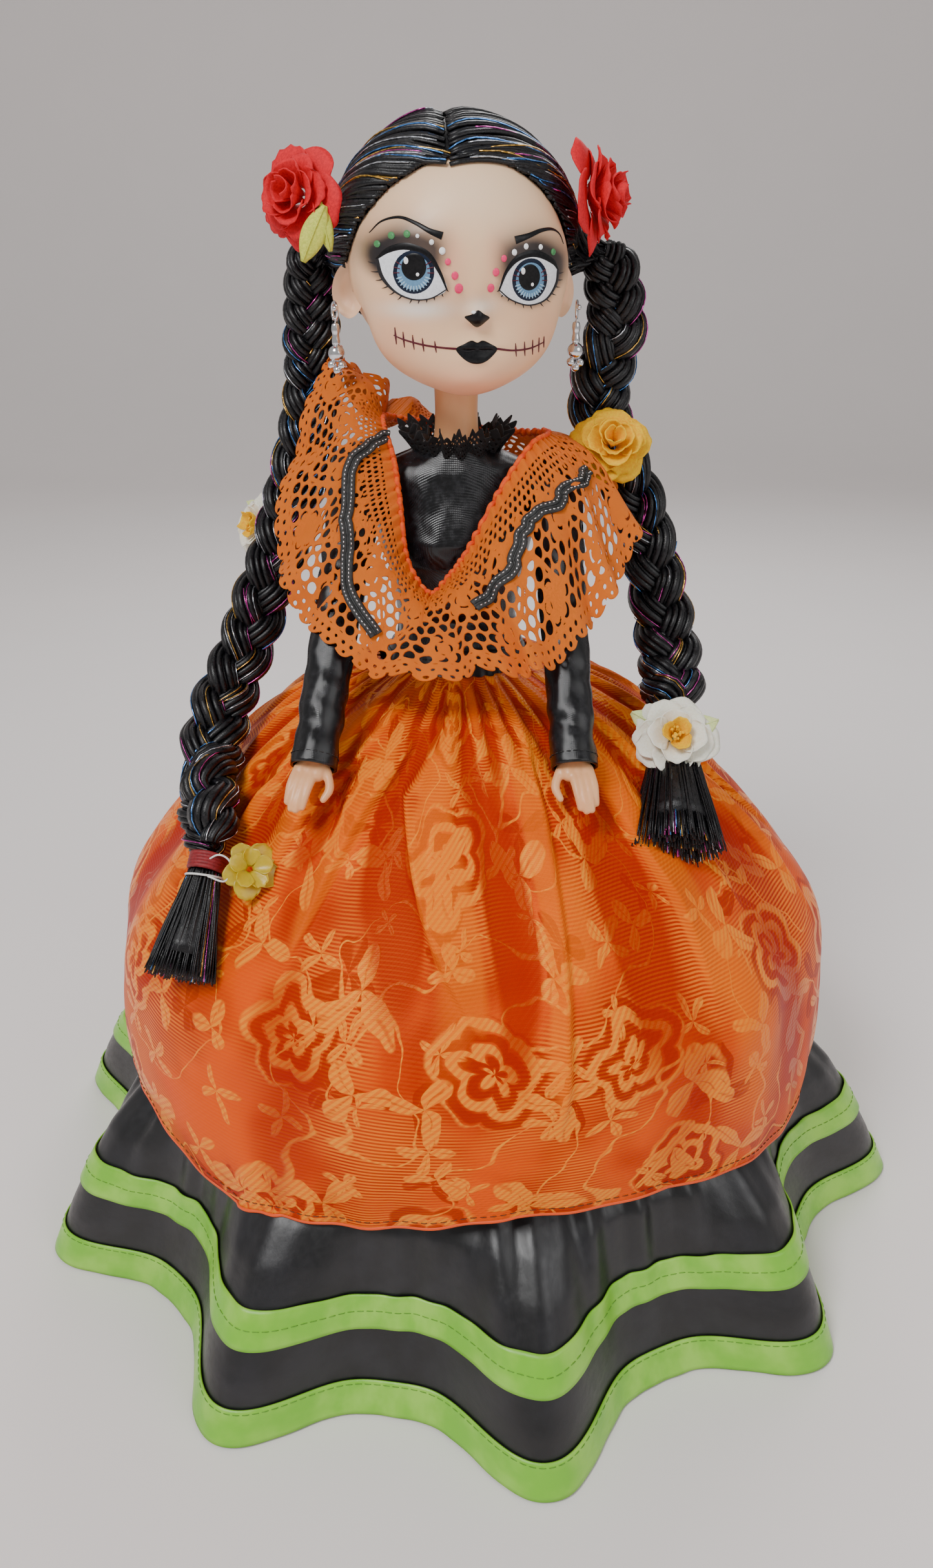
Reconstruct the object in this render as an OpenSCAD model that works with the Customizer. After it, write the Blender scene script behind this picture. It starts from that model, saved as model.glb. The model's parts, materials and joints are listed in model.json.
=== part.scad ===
// Catrina doll in a long tiered skirt, with a turning head, swinging arms and legs,
// turning hands, hanging earrings, and a stand under the skirt.
// It faces -Y, +Z is up, +X is the doll's left, and the origin is under the middle of the hem.

/* [Figure] */
// Height of the top of the hair above the floor
total_height = 340; // [330:1:350]
// Sideways offset of the body's middle from the middle of the hem
figure_x = -4; // [-6:0.5:0]
// Turn of the head at rest, towards the doll's left
head_turn = 9; // [0:1:15]
// Height of the shoulder pivots
shoulder_z = 246; // [244:1:248]
// Distance of each shoulder ball from the body's middle
shoulder_x = 29; // [28.5:0.5:30]

/* [Skirt] */
// Mean radius of the hem
hem_r = 139; // [130:1:145]
// Depth of the folds at the hem
hem_fold = 13; // [5:1:15]
// Number of folds round the hem
fold_count = 10; // [8:2:12]
// Direction of one fold's tip, in degrees round from +X
fold_phase = -82; // [-90:1:-70]
// Height where the orange cloth ends and the black flounce shows
orange_hem_z = 60; // [58:1:64]
// Width of the green ribbons
ribbon_w = 10; // [8:0.5:11]
// Height of the middle of the upper ribbon
upper_ribbon_z = 30; // [26:1:34]
// Wall of the cloth solids
cloth_wall = 1.2; // [1:0.1:1.4]

/* [Stand] */
// Radius of the stand's base
base_r = 44; // [36:1:46]
// Thickness of the stand's base
base_h = 4; // [3:0.5:5]
// Radius of the stand's rod
rod_r = 2; // [1.5:0.1:2.2]

/* [Hidden] */

gap = 0.4;               // air between neighbouring solids
round_fn = 48;           // sides of turned shapes in the preview
hull_fn = 20;            // sides of the balls inside a hull
around = 60;             // columns of points round a gathered cloth

waist_z = 186;
hip_z = 157;
hip_r = 8;
hip_web = 4;             // half the width of the pelvis between the legs
leg_x = 12;
axle_r = 1.5;
axle_clear = 0.1;
neck_y = 1;
head_z = 303;            // middle of the skull
skull_r = 33;
hair_r = total_height - head_z - 1.5;
earring_x = 34.6;
earring_z = 288;         // the drop swings about this height on its hook
braid_split_z = 274;     // the braids' upper ends ride on the head above this height
clip_r = 26;
clip_z = 168;
rod_y = clip_r + 1.5 + rod_r;

left_shoulder = [figure_x + shoulder_x, 0, shoulder_z];
left_cuff = [figure_x + 33, -58, 175];
left_tip = [figure_x + 35, -70, 166];
right_cuff = [figure_x + 39.6, -58, 175];    // as if on the left: the right arm is mirrored
right_tip = [figure_x + 43, -70, 166];
arm_r_top = 5.6;
arm_r_wrist = 4.1;
shoulder_ball = 6.8;
sleeve_wall = 0.9;
peg_r = 2;
wrist_peg = 1.6;
peg_clear = 0.1;

// Gathered cloths: each row is height, mean radius and fold depth, from the top down
orange_rows = [
    [186, 26, 0.5], [182, 34, 0.8], [176, 47, 1], [165, 61, 1.2], [150, 78, 2],
    [130, 99, 3.5], [110, 113, 4.5], [90, 117.5, 5], [orange_hem_z, 118, 4]
];
ruffle_rows = [
    [66, 106, 1], [60, 109, 2], [53, 116, 4], [44, 121, hem_fold * 0.6],
    [30, 127, hem_fold * 0.85], [16, hem_r - 6, hem_fold * 0.95], [0, hem_r, hem_fold]
];
petticoat_rows = [
    [179, 32], [172, 44], [160, 57], [145, 71], [128, 87], [108, 97], [85, 101], [4, 101]
];

// Braid routes, from the root behind the ear to the tie
left_braid = [
    [-46, 20, 306], [-47, 20, 294], [-48, 18, 282], [-48, 17, 270], [-50, 16, 255], [-55, 16, 238],
    [-60, 13, 222], [-66, 6, 206], [-72, -2, 190], [-78, -14, 175], [-80, -30, 163],
    [-77.5, -46, 156], [-74.5, -60, 149]
];
right_braid = [
    [40, 20, 306], [43, 19, 295], [44, 18, 284], [40, 17, 270], [41, 16, 257], [50, 14, 240],
    [56, 12, 224], [60, 6, 207], [63, -3, 192], [63.5, -13, 181], [62, -23, 175]
];
braid_r = 7.5;
braid_sides = 8;

function fold(a) = cos(fold_count * (a - fold_phase));
function row_r(rows, z) = lookup(z, [for (g = rows) [g[0], g[1]]]);
function row_fold(rows, z) = lookup(z, [for (g = rows) [g[0], g[2]]]);
// Cloth is centred on the body at the waist and on the origin at the hem
function lean(z) = figure_x * max(0, min(1, (z - 110) / 70));
function unit(v) = v / norm(v);

// Triangles of a closed shell between an outer and an inner grid of points
function grid_side(rows, cols, base, flip) = [
    for (k = [0:rows - 2]) for (j = [0:cols - 1])
        let (a = base + k * cols + j, b = base + k * cols + (j + 1) % cols)
        let (c = a + cols, d = b + cols)
        each flip ? [[a, c, b], [b, c, d]] : [[a, b, c], [b, d, c]]
];
function grid_rim(cols, outer, inner, flip) = [
    for (j = [0:cols - 1])
        let (a = outer + j, b = outer + (j + 1) % cols)
        let (c = inner + j, d = inner + (j + 1) % cols)
        each flip ? [[a, b, c], [c, b, d]] : [[a, c, b], [c, d, b]]
];

module shell(outer, inner, rows, cols) {
    half = rows * cols;
    polyhedron(
        points = concat(outer, inner),
        faces = concat(
            grid_side(rows, cols, 0, false),
            grid_side(rows, cols, half, true),
            grid_rim(cols, 0, half, false),
            grid_rim(cols, half - cols, 2 * half - cols, true)
        )
    );
}

// A cloth gathered round the vertical axis, whose folds deepen row by row
module gathered(rows, wall) {
    function grid(inset) = [
        for (g = rows) for (j = [0:around - 1])
            let (a = 360 * j / around, r = g[1] + g[2] * fold(a) - inset)
            [lean(g[0]) + r * cos(a), r * sin(a), g[0]]
    ];
    shell(grid(0), grid(wall), len(rows), around);
}

// A ribbon sewn on the outside of the black cloth between two heights
module ribbon(z_top, z_low) {
    lift = 0.8 + 0.9;
    rows = [
        for (z = [z_top, (z_top + z_low) / 2, z_low])
            [z, row_r(ruffle_rows, z) + lift, row_fold(ruffle_rows, z)]
    ];
    gathered(rows, 0.8);
}

// Turns +Z towards q from p, at p
module along(p, q) {
    v = q - p;
    translate(p) rotate([0, acos(v[2] / norm(v)), atan2(v[1], v[0])]) children();
}

module balls(list) {
    for (b = list) translate([b[0], b[1], b[2]]) sphere(r = b[3], $fn = hull_fn);
}

// A thick strand of hair swept along its route
module strand(route, r) {
    n = len(route);
    function dir(i) = unit(route[min(i + 1, n - 1)] - route[max(i - 1, 0)]);
    function ring(i) =
        let (d = dir(i), u = unit(cross(d, [0, 1, 0])), w = cross(d, u))
        let (rr = r * (i == 0 || i == n - 1 ? 0.8 : 1))
        [for (j = [0:braid_sides - 1])
            let (a = 360 * j / braid_sides)
            route[i] + rr * (cos(a) * u + sin(a) * w)];
    points = [for (i = [0:n - 1]) each ring(i)];
    polyhedron(points = points, faces = concat(
        grid_side(n, braid_sides, 0, true),
        [[for (j = [0:braid_sides - 1]) j]],
        [[for (j = [braid_sides - 1:-1:0]) (n - 1) * braid_sides + j]]
    ));
}

function above(route, z) = [for (p = route) if (p[2] > z) p];
function below(route, z) = [for (p = route) if (p[2] < z) p];

// A paper rose: nested cups turned about the stem
module rose(p, q, r) {
    along(p, q) rotate_extrude($fn = round_fn) polygon([
        [0, 0], [r * 0.7, r * 0.1], [r, r * 0.35], [r * 0.92, r * 0.5], [r * 0.62, r * 0.42],
        [r * 0.66, r * 0.72], [r * 0.4, r * 0.6], [r * 0.34, r * 0.85], [0, r * 0.8]
    ]);
}

module stand_base() {
    color("white") translate([figure_x, 0, 0]) difference() {
        union() {
            cylinder(r1 = base_r, r2 = base_r - 1.5, h = base_h, $fn = round_fn);
            translate([0, rod_y, 0]) cylinder(r = rod_r + 3, h = base_h + 8, $fn = round_fn);
        }
        translate([0, rod_y, 2]) cylinder(r = rod_r + peg_clear, h = 20, $fn = round_fn);
    }
}

module stand_rod() {
    color("silver") translate([figure_x, rod_y, 2.2])
        cylinder(r = rod_r, h = clip_z + 6 - 2.2, $fn = round_fn);
}

module waist_clip() {
    color("silver") translate([figure_x, 0, clip_z]) difference() {
        union() {
            rotate([0, 0, -55]) rotate_extrude(angle = 290, $fn = round_fn)
                translate([clip_r, 0]) square([1.4, 5]);
            translate([0, rod_y, 0]) cylinder(r = rod_r + 1.6, h = 5, $fn = round_fn);
        }
        translate([0, rod_y, -1]) cylinder(r = rod_r + peg_clear, h = 8, $fn = round_fn);
    }
}

module torso_form(grow) {
    translate([figure_x, 0, 0]) hull() balls([
        [-14, 0, 240, 8 + grow], [14, 0, 240, 8 + grow],
        [-8, -6, 226, 8.5 + grow], [8, -6, 226, 8.5 + grow],
        [-6, 0, 196, 10 + grow], [6, 0, 196, 10 + grow]
    ]);
}

module torso_half(side) {
    difference() {
        torso_form(0);
        torso_form(-2);
        translate([-100, side < 0 ? -0.05 : 0.05 - 200, 0]) cube([200, 200, 400]);
        translate([figure_x - 50, 0, shoulder_z])
            rotate([0, 90, 0]) cylinder(r = peg_r + peg_clear, h = 100, $fn = round_fn);
        translate([figure_x, neck_y, 230]) cylinder(r = 7, h = 30, $fn = round_fn);
    }
}
module torso_front() { color("peachpuff") torso_half(-1); }
module torso_back() { color("peachpuff") torso_half(1); }

module neck_peg() {
    color("peachpuff") translate([figure_x, neck_y, 0]) rotate_extrude($fn = round_fn) polygon([
        [0, 232], [6.8, 232], [6.8, 268], [5, 268.6], [5, 278], [6.2, 280], [5, 283], [0, 284]
    ]);
}

module pelvis() {
    color("peachpuff") translate([figure_x, 0, 0]) difference() {
        union() {
            hull() balls([[-12, 0, 175, 9], [12, 0, 175, 9]]);
            translate([-hip_web, -6, hip_z - 6]) cube([2 * hip_web, 12, 18]);
        }
        translate([-50, 0, hip_z]) rotate([0, 90, 0])
            cylinder(r = axle_r, h = 100, $fn = round_fn);
    }
}

module hip_axle() {
    color("silver") translate([figure_x - leg_x - hip_r, 0, hip_z]) rotate([0, 90, 0])
        cylinder(r = axle_r, h = 2 * (leg_x + hip_r), $fn = round_fn);
}

module leg(side) {
    knee_z = 84;
    ankle_z = 20;
    color("peachpuff") translate([figure_x + side * leg_x, 0, 0]) difference() {
        union() {
            translate([-hip_r + 0.5, 0, hip_z]) rotate([0, 90, 0])
                cylinder(r = hip_r, h = 2 * hip_r - 1, $fn = round_fn);
            translate([0, 0, knee_z])
                cylinder(r1 = 4.8, r2 = hip_r - 0.6, h = hip_z - knee_z, $fn = round_fn);
            translate([0, 0, knee_z]) sphere(r = 5, $fn = round_fn);
            translate([0, 0, ankle_z])
                cylinder(r1 = 3.2, r2 = 4.7, h = knee_z - ankle_z, $fn = round_fn);
        }
        translate([-50, 0, hip_z]) rotate([0, 90, 0])
            cylinder(r = axle_r + axle_clear, h = 100, $fn = round_fn);
    }
}
module leg_left() { leg(1); }
module leg_right() { leg(-1); }

module shoe(side) {
    lift = base_h + 2.5;
    color("black") translate([figure_x + side * leg_x, 0, 0]) difference() {
        union() {
            hull() balls([[0, 3, lift + 3.5, 3.5], [0, -14, lift + 3, 3]]);
            translate([0, 0, lift + 3]) cylinder(r = 4.6, h = 16, $fn = round_fn);
        }
        translate([0, 0, 20 - gap]) cylinder(r = 3.7, h = 20, $fn = round_fn);
    }
}
module shoe_left() { shoe(1); }
module shoe_right() { shoe(-1); }

module knit_top() {
    color("#222226") difference() {
        torso_form(1.4);
        torso_form(gap);
        translate([figure_x, neck_y, 236]) cylinder(r = 7.2, h = 30, $fn = round_fn);
        translate([figure_x - 50, 0, shoulder_z])
            rotate([0, 90, 0]) cylinder(r = peg_r + 1, h = 100, $fn = round_fn);
        for (side = [-1, 1]) translate([figure_x + side * (shoulder_x + 2) - 10, -20, 180])
            cube([20, 40, 100]);
    }
}

module lace_collar() {
    cols = 40;
    function grid(inset) = [
        for (g = [[259, 12.5], [254, 10], [249.5, 11]]) for (j = [0:cols - 1])
            let (a = 360 * j / cols, r = g[1] - inset + 0.7 * cos(10 * a))
            [figure_x + r * cos(a), neck_y + r * sin(a), g[0]]
    ];
    color("black") shell(grid(0), grid(0.8), 3, cols);
}

// The lace flounce falls from a V neck over the shoulders; the front is at 270 degrees.
// A point on it: a is the direction round the neck, t runs from the neck edge to the hem.
function front(a) = max(0, -sin(a));
function boxy(v) = sign(v) * pow(abs(v), 0.8);
function lace_neck(a) =
    [24 * cos(a), 22 * sin(a) - 3, 265 - 46 * pow(front(a), 1.6) - 12 * max(0, sin(a))];
function lace_hem(a) = [
    (46 + 9 * min(1, 1.6 * front(a))) * boxy(cos(a)),
    (sin(a) < 0 ? 50 : 38) * boxy(sin(a)) - 1,
    198 + 37 * pow(abs(cos(a)), 1.4)
];
function lace_point(a, t) =
    let (p = lace_neck(a), q = lace_hem(a), ripple = 1.2 * t * cos(12 * a))
    [figure_x + p[0] + (q[0] - p[0]) * t + ripple * cos(a),
     p[1] + (q[1] - p[1]) * t + ripple * sin(a),
     p[2] + (q[2] - p[2]) * t + 8 * sin(180 * t)];

module lace_flounce() {
    cols = 60;
    steps = 4;
    function grid(drop) = [
        for (k = [0:steps]) for (j = [0:cols - 1]) lace_point(360 * j / cols, k / steps) - [0, 0, drop]
    ];
    color("darkorange") shell(grid(0), grid(1), steps + 1, cols);
}

// Two narrow braided trims lie on the lace, one from each shoulder
module braid_trims() {
    for (side = [-1, 1]) {
        path = [for (i = [0:5]) lace_point(270 + side * (72 - 10 * i), 0.5) + [0, -1.6, 2.2]];
        color("black") strand(path, 1.2);
    }
}

module waistband() {
    color("black") translate([figure_x, 0, waist_z - 2]) difference() {
        cylinder(r = 22.5, h = 8, $fn = round_fn);
        translate([0, 0, -1]) cylinder(r = 20.5, h = 10, $fn = round_fn);
    }
}

module petticoat() {
    n = len(petticoat_rows);
    color("ivory") translate([figure_x / 2, 0, 0]) rotate_extrude($fn = round_fn) polygon(concat(
        [for (g = petticoat_rows) [g[1], g[0]]],
        [for (i = [n - 1:-1:0]) [petticoat_rows[i][1] - 1.2, petticoat_rows[i][0] - (i == 0 ? 1 : 0)]]
    ));
}

module orange_skirt() { color("#f2691c") gathered(orange_rows, cloth_wall); }
module black_ruffle() { color("#1b1b1e") gathered(ruffle_rows, cloth_wall); }
module upper_ribbon() {
    color("#8fd04a") ribbon(upper_ribbon_z + ribbon_w / 2, upper_ribbon_z - ribbon_w / 2);
}
module hem_ribbon() { color("#8fd04a") ribbon(ribbon_w, 0); }

module on_head() {
    translate([figure_x, neck_y, 0]) rotate([0, 0, head_turn]) translate([0, -neck_y, 0]) children();
}

module skull(grow) {
    hull() balls([
        [0, 3, head_z, skull_r + grow], [-16, -16, head_z - 18, 11 + grow],
        [16, -16, head_z - 18, 11 + grow], [0, -20, 277, 8 + grow], [0, 1, 275, 7 + grow]
    ]);
}

module head_shell() {
    color("#f0c9a8") on_head() difference() {
        union() {
            skull(0);
            for (side = [-1, 1]) translate([side * 32 - 2, 2, 294])
                rotate([0, 90, 0]) cylinder(r = 6, h = 4, $fn = round_fn);
            translate([0, -29.5, 289]) sphere(r = 3.2, $fn = round_fn);
        }
        skull(-2.5);
        translate([0, neck_y, 250]) cylinder(r = 5.1, h = 30, $fn = round_fn);
        translate([0, neck_y, 240]) cylinder(r = 7.2, h = 29, $fn = round_fn);
    }
}

module hair_cap() {
    color("#17151a") on_head() difference() {
        translate([0, 3, head_z + 1.5]) sphere(r = hair_r, $fn = round_fn);
        skull(0.05);
        translate([-60, -60, head_z - 80]) cube([120, 120, 58]);
        translate([0, -40, head_z - 22]) rotate([-20, 0, 0])
            translate([-60, -60, -60]) cube([120, 88, 100]);
        for (side = [-1, 1]) translate([side * 36 - 12, 2, 294])
            rotate([0, 90, 0]) cylinder(r = 7, h = 24, $fn = round_fn);
    }
}

module braid_upper_left() { color("#17151a") strand(above(right_braid, braid_split_z), braid_r); }
module braid_upper_right() { color("#17151a") strand(above(left_braid, braid_split_z), braid_r); }
module braid_lower_left() { color("#17151a") strand(below(right_braid, braid_split_z), braid_r); }
module braid_lower_right() { color("#17151a") strand(below(left_braid, braid_split_z), braid_r); }

right_tie = left_braid[len(left_braid) - 1];
right_tie_dir = unit([-4, -20, -20]);
left_tie = right_braid[len(right_braid) - 1];
left_tie_dir = unit([-1, -36, -17]);

module hair_band() {
    color("#7a1414") along(right_tie + 3.4 * right_tie_dir, right_tie + 8 * right_tie_dir)
        cylinder(r = 5.4, h = 5, $fn = round_fn);
}

module elastic_loop() {
    color("white") along(right_tie + 9.4 * right_tie_dir, right_tie + 12 * right_tie_dir)
        rotate_extrude($fn = round_fn) translate([5.4, 0]) circle(r = 0.6, $fn = 16);
}

module tassel_right() {
    color("#17151a") along(right_tie + 8.6 * right_tie_dir, right_tie + 30 * right_tie_dir)
        cylinder(r1 = 4, r2 = 8.5, h = 26, $fn = round_fn);
}
module tassel_left() {
    color("#17151a") along(left_tie + 3.5 * left_tie_dir, left_tie + 30 * left_tie_dir)
        cylinder(r1 = 4.6, r2 = 9.5, h = 38, $fn = round_fn);
}

module red_rose_right() { color("#e01830") rose([-42, -1, 318], [-53, -9, 320], 12); }
module red_rose_left() { color("#e01830") rose([33, 2, 320], [44, -2, 319], 12); }
module red_rose_leaves() {
    color("#c8d850") along([-46, -7, 306], [-51, -14, 302]) cylinder(r = 5, h = 1, $fn = round_fn);
}
module white_rose_front() {
    color("#f4efe2") rose(left_tie + [0, -9, 6], left_tie + [0, -15, 12], 12);
}
module white_rose_side() { color("#f4efe2") rose([-62, 24, 224], [-70, 30, 227], 11); }
module yellow_rose() { color("#f6d40a") rose([46, 4, 256], [46.5, -9, 259], 12); }
module yellow_flower() { color("#e6d820") rose([-64.5, -69, 146], [-61.5, -75, 151], 8); }

module earring_hook(side) {
    color("silver") on_head() translate([side * earring_x, -2, earring_z + 2]) rotate([0, 90, 0])
        rotate_extrude($fn = round_fn) translate([2.2, 0]) circle(r = 0.45, $fn = 16);
}
module earring_hook_left() { earring_hook(1); }
module earring_hook_right() { earring_hook(-1); }

module earring_drop(side) {
    color("silver") on_head() translate([side * earring_x, -2, earring_z]) {
        translate([0, 0, -7.4]) cylinder(r = 0.9, h = 6, $fn = round_fn);
        translate([0, 0, -9]) sphere(r = 2.2, $fn = round_fn);
        translate([0, 0, -13.2]) cylinder(r = 0.5, h = 3, $fn = round_fn);
        translate([0, 0, -13.6]) sphere(r = 1.3, $fn = round_fn);
    }
}
module earring_drop_left() { earring_drop(1); }
module earring_drop_right() { earring_drop(-1); }

// One arm: a ball on a peg in the torso's side, and a tapering arm with a wrist bore
module arm(cuff) {
    color("#f0c9a8") difference() {
        union() {
            translate(left_shoulder) sphere(r = shoulder_ball, $fn = round_fn);
            translate(left_shoulder - [16, 0, 0]) rotate([0, 90, 0])
                cylinder(r = peg_r, h = 16, $fn = round_fn);
            along(left_shoulder, cuff)
                cylinder(
                    r1 = arm_r_top, r2 = arm_r_wrist, h = norm(cuff - left_shoulder), $fn = round_fn);
        }
        along(cuff, left_shoulder) translate([0, 0, -1])
            cylinder(r = wrist_peg + peg_clear, h = 9, $fn = round_fn);
    }
}

module sleeve(cuff) {
    reach = norm(cuff - left_shoulder);
    color("#1d1d21") difference() {
        union() {
            translate(left_shoulder) sphere(r = shoulder_ball + gap + sleeve_wall, $fn = round_fn);
            along(left_shoulder, cuff) cylinder(
                r1 = arm_r_top + gap + sleeve_wall + 0.4,
                r2 = arm_r_wrist + gap + sleeve_wall, h = reach, $fn = round_fn);
        }
        translate(left_shoulder) sphere(r = shoulder_ball + gap, $fn = round_fn);
        along(left_shoulder, cuff) cylinder(
            r1 = arm_r_top + gap, r2 = arm_r_wrist + gap, h = reach + 1, $fn = round_fn);
        translate(left_shoulder - [24.8, 20, 20]) cube([20, 40, 40]);
    }
}

module hand(cuff, tip) {
    axis = unit(tip - cuff);
    palm = cuff + 5 * axis;
    color("#f0c9a8") {
        along(cuff + 6 * unit(left_shoulder - cuff), cuff)
            cylinder(r = wrist_peg, h = 8, $fn = round_fn);
        hull() {
            translate(cuff + 3.6 * axis) sphere(r = 3, $fn = hull_fn);
            translate(palm + 6 * axis) sphere(r = 3.6, $fn = hull_fn);
            translate(palm + 11 * axis) sphere(r = 2.6, $fn = hull_fn);
        }
        hull() {
            translate(palm + [-3, -0.5, 0]) sphere(r = 1.7, $fn = hull_fn);
            translate(palm + 5 * axis + [-5, -1.5, 0]) sphere(r = 1.5, $fn = hull_fn);
        }
    }
}

module other_side() {
    translate([2 * figure_x, 0, 0]) mirror([1, 0, 0]) children();
}
module arm_left() { arm(left_cuff); }
module arm_right() { other_side() arm(right_cuff); }
module sleeve_left() { sleeve(left_cuff); }
module sleeve_right() { other_side() sleeve(right_cuff); }
module hand_left() { hand(left_cuff, left_tip); }
module hand_right() { other_side() hand(right_cuff, right_tip); }

stand_base();
stand_rod();
waist_clip();
torso_front();
torso_back();
neck_peg();
pelvis();
hip_axle();
leg_left();
leg_right();
shoe_left();
shoe_right();
knit_top();
lace_collar();
lace_flounce();
braid_trims();
waistband();
petticoat();
orange_skirt();
black_ruffle();
upper_ribbon();
hem_ribbon();
head_shell();
hair_cap();
braid_upper_left();
braid_upper_right();
braid_lower_left();
braid_lower_right();
hair_band();
elastic_loop();
tassel_left();
tassel_right();
red_rose_left();
red_rose_right();
red_rose_leaves();
white_rose_front();
white_rose_side();
yellow_rose();
yellow_flower();
earring_hook_left();
earring_hook_right();
earring_drop_left();
earring_drop_right();
arm_left();
arm_right();
sleeve_left();
sleeve_right();
hand_left();
hand_right();
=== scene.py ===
import json
import math

import bpy
import numpy as np
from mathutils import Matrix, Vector
from mathutils.bvhtree import BVHTree


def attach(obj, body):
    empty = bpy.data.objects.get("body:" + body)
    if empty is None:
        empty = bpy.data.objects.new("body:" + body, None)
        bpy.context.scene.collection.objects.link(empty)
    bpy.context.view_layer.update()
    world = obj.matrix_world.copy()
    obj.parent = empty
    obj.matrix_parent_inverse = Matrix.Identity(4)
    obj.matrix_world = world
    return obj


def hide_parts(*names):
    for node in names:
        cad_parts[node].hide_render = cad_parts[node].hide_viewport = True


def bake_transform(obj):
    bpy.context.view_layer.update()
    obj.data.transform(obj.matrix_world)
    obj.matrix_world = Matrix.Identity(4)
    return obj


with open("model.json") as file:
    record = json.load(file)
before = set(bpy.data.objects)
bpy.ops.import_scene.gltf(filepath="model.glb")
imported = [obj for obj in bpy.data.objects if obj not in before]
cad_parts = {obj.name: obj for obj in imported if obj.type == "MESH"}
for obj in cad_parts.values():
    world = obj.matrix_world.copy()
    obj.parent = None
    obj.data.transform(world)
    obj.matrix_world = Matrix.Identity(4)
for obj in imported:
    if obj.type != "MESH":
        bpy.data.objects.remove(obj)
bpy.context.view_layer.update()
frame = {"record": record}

MM = 0.001
RNG = np.random.default_rng(7)


# ---------------------------------------------------------------- places from the frame
JOINTS = {j["name"]: j for j in frame["record"]["behaviour"]["joints"]}
NECK = np.array(JOINTS["neck_turn"]["pos_m"]) / MM
FIGURE_X = NECK[0]
HEAD_TURN = math.radians(9)      # how far the head is turned at rest


def to_world(points):
    """Head-frame millimetres to the frame's: the head's middle plane is x = 0 before it is turned."""
    p = np.asarray(points, float)
    x, y = p[..., 0], p[..., 1] - NECK[1]
    c, s = math.cos(HEAD_TURN), math.sin(HEAD_TURN)
    return np.stack([x * c - y * s + NECK[0], x * s + y * c + NECK[1], p[..., 2]], -1)


def to_head(points):
    p = np.asarray(points, float)
    x, y = p[..., 0] - NECK[0], p[..., 1] - NECK[1]
    c, s = math.cos(HEAD_TURN), math.sin(HEAD_TURN)
    return np.stack([x * c + y * s, -x * s + y * c + NECK[1], p[..., 2]], -1)


# ---------------------------------------------------------------- mesh helpers (millimetres in)
class Soup:
    """Collects vertices and faces, and builds one mesh object from them."""

    def __init__(self):
        self.verts, self.faces, self.count = [], [], 0

    def add(self, verts, faces, material=0, uv=None):
        verts = np.asarray(verts, float).reshape(-1, 3)
        for k, f in enumerate(faces if isinstance(faces, list) else [faces]):
            f = np.asarray(f, int)
            if f.size:
                self.faces.append((f + self.count, material, uv if k == 0 else None))
        self.verts.append(verts)
        self.count += len(verts)

    def build(self, name, materials, body):
        co = np.concatenate(self.verts) * MM
        me = bpy.data.meshes.new(name)
        me.vertices.add(len(co))
        me.vertices.foreach_set("co", co.ravel())
        index = np.concatenate([f.ravel() for f, _, _ in self.faces])
        totals = np.concatenate([np.full(len(f), f.shape[1]) for f, _, _ in self.faces])
        me.loops.add(len(index))
        me.loops.foreach_set("vertex_index", index)
        me.polygons.add(len(totals))
        me.polygons.foreach_set("loop_start", np.concatenate([[0], np.cumsum(totals)[:-1]]))
        me.polygons.foreach_set("loop_total", totals)
        which = np.concatenate([np.full(len(f), m) for f, m, _ in self.faces])
        me.polygons.foreach_set("material_index", which)
        me.polygons.foreach_set("use_smooth", np.full(len(totals), True))
        if any(uv is not None for _, _, uv in self.faces):
            layer = me.uv_layers.new(name="cloth")
            flat = [
                np.zeros(f.size * 2) if uv is None else np.asarray(uv, float).ravel()
                for f, _, uv in self.faces
            ]
            layer.data.foreach_set("uv", np.concatenate(flat))
        me.update(calc_edges=True)
        me.validate()
        ob = bpy.data.objects.new(name, me)
        bpy.context.scene.collection.objects.link(ob)
        for m in materials:
            me.materials.append(m)
        if body:
            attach(ob, body)
        return ob


def grid_faces(rows, cols, closed):
    """Quads of a grid of rows x cols points; closed joins the last column to the first."""
    k, j = np.meshgrid(np.arange(rows - 1), np.arange(cols if closed else cols - 1), indexing="ij")
    nxt = (j + 1) % cols
    corners = [k * cols + j, (k + 1) * cols + j, (k + 1) * cols + nxt, k * cols + nxt]
    return np.stack(corners, -1).reshape(-1, 4)


def unit(v):
    v = np.asarray(v, float)
    return v / np.maximum(np.linalg.norm(v, axis=-1, keepdims=True), 1e-9)


def spline(points, n, closed=False):
    """Catmull-Rom through the points: n samples."""
    p = np.asarray(points, float)
    if closed:
        p = np.concatenate([p[-1:], p, p[:2]])
        segments = len(p) - 3
        t = np.linspace(0, segments, n, endpoint=False)
    else:
        p = np.concatenate([2 * p[:1] - p[1:2], p, 2 * p[-1:] - p[-2:-1]])
        segments = len(p) - 3
        t = np.linspace(0, segments, n)
    i = np.minimum(t.astype(int), segments - 1)
    f = (t - i)[:, None]
    a, b, c, d = p[i], p[i + 1], p[i + 2], p[i + 3]
    return 0.5 * (2 * b + (c - a) * f + (2 * a - 5 * b + 4 * c - d) * f**2 + (3 * b - a - 3 * c + d) * f**3)


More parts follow.
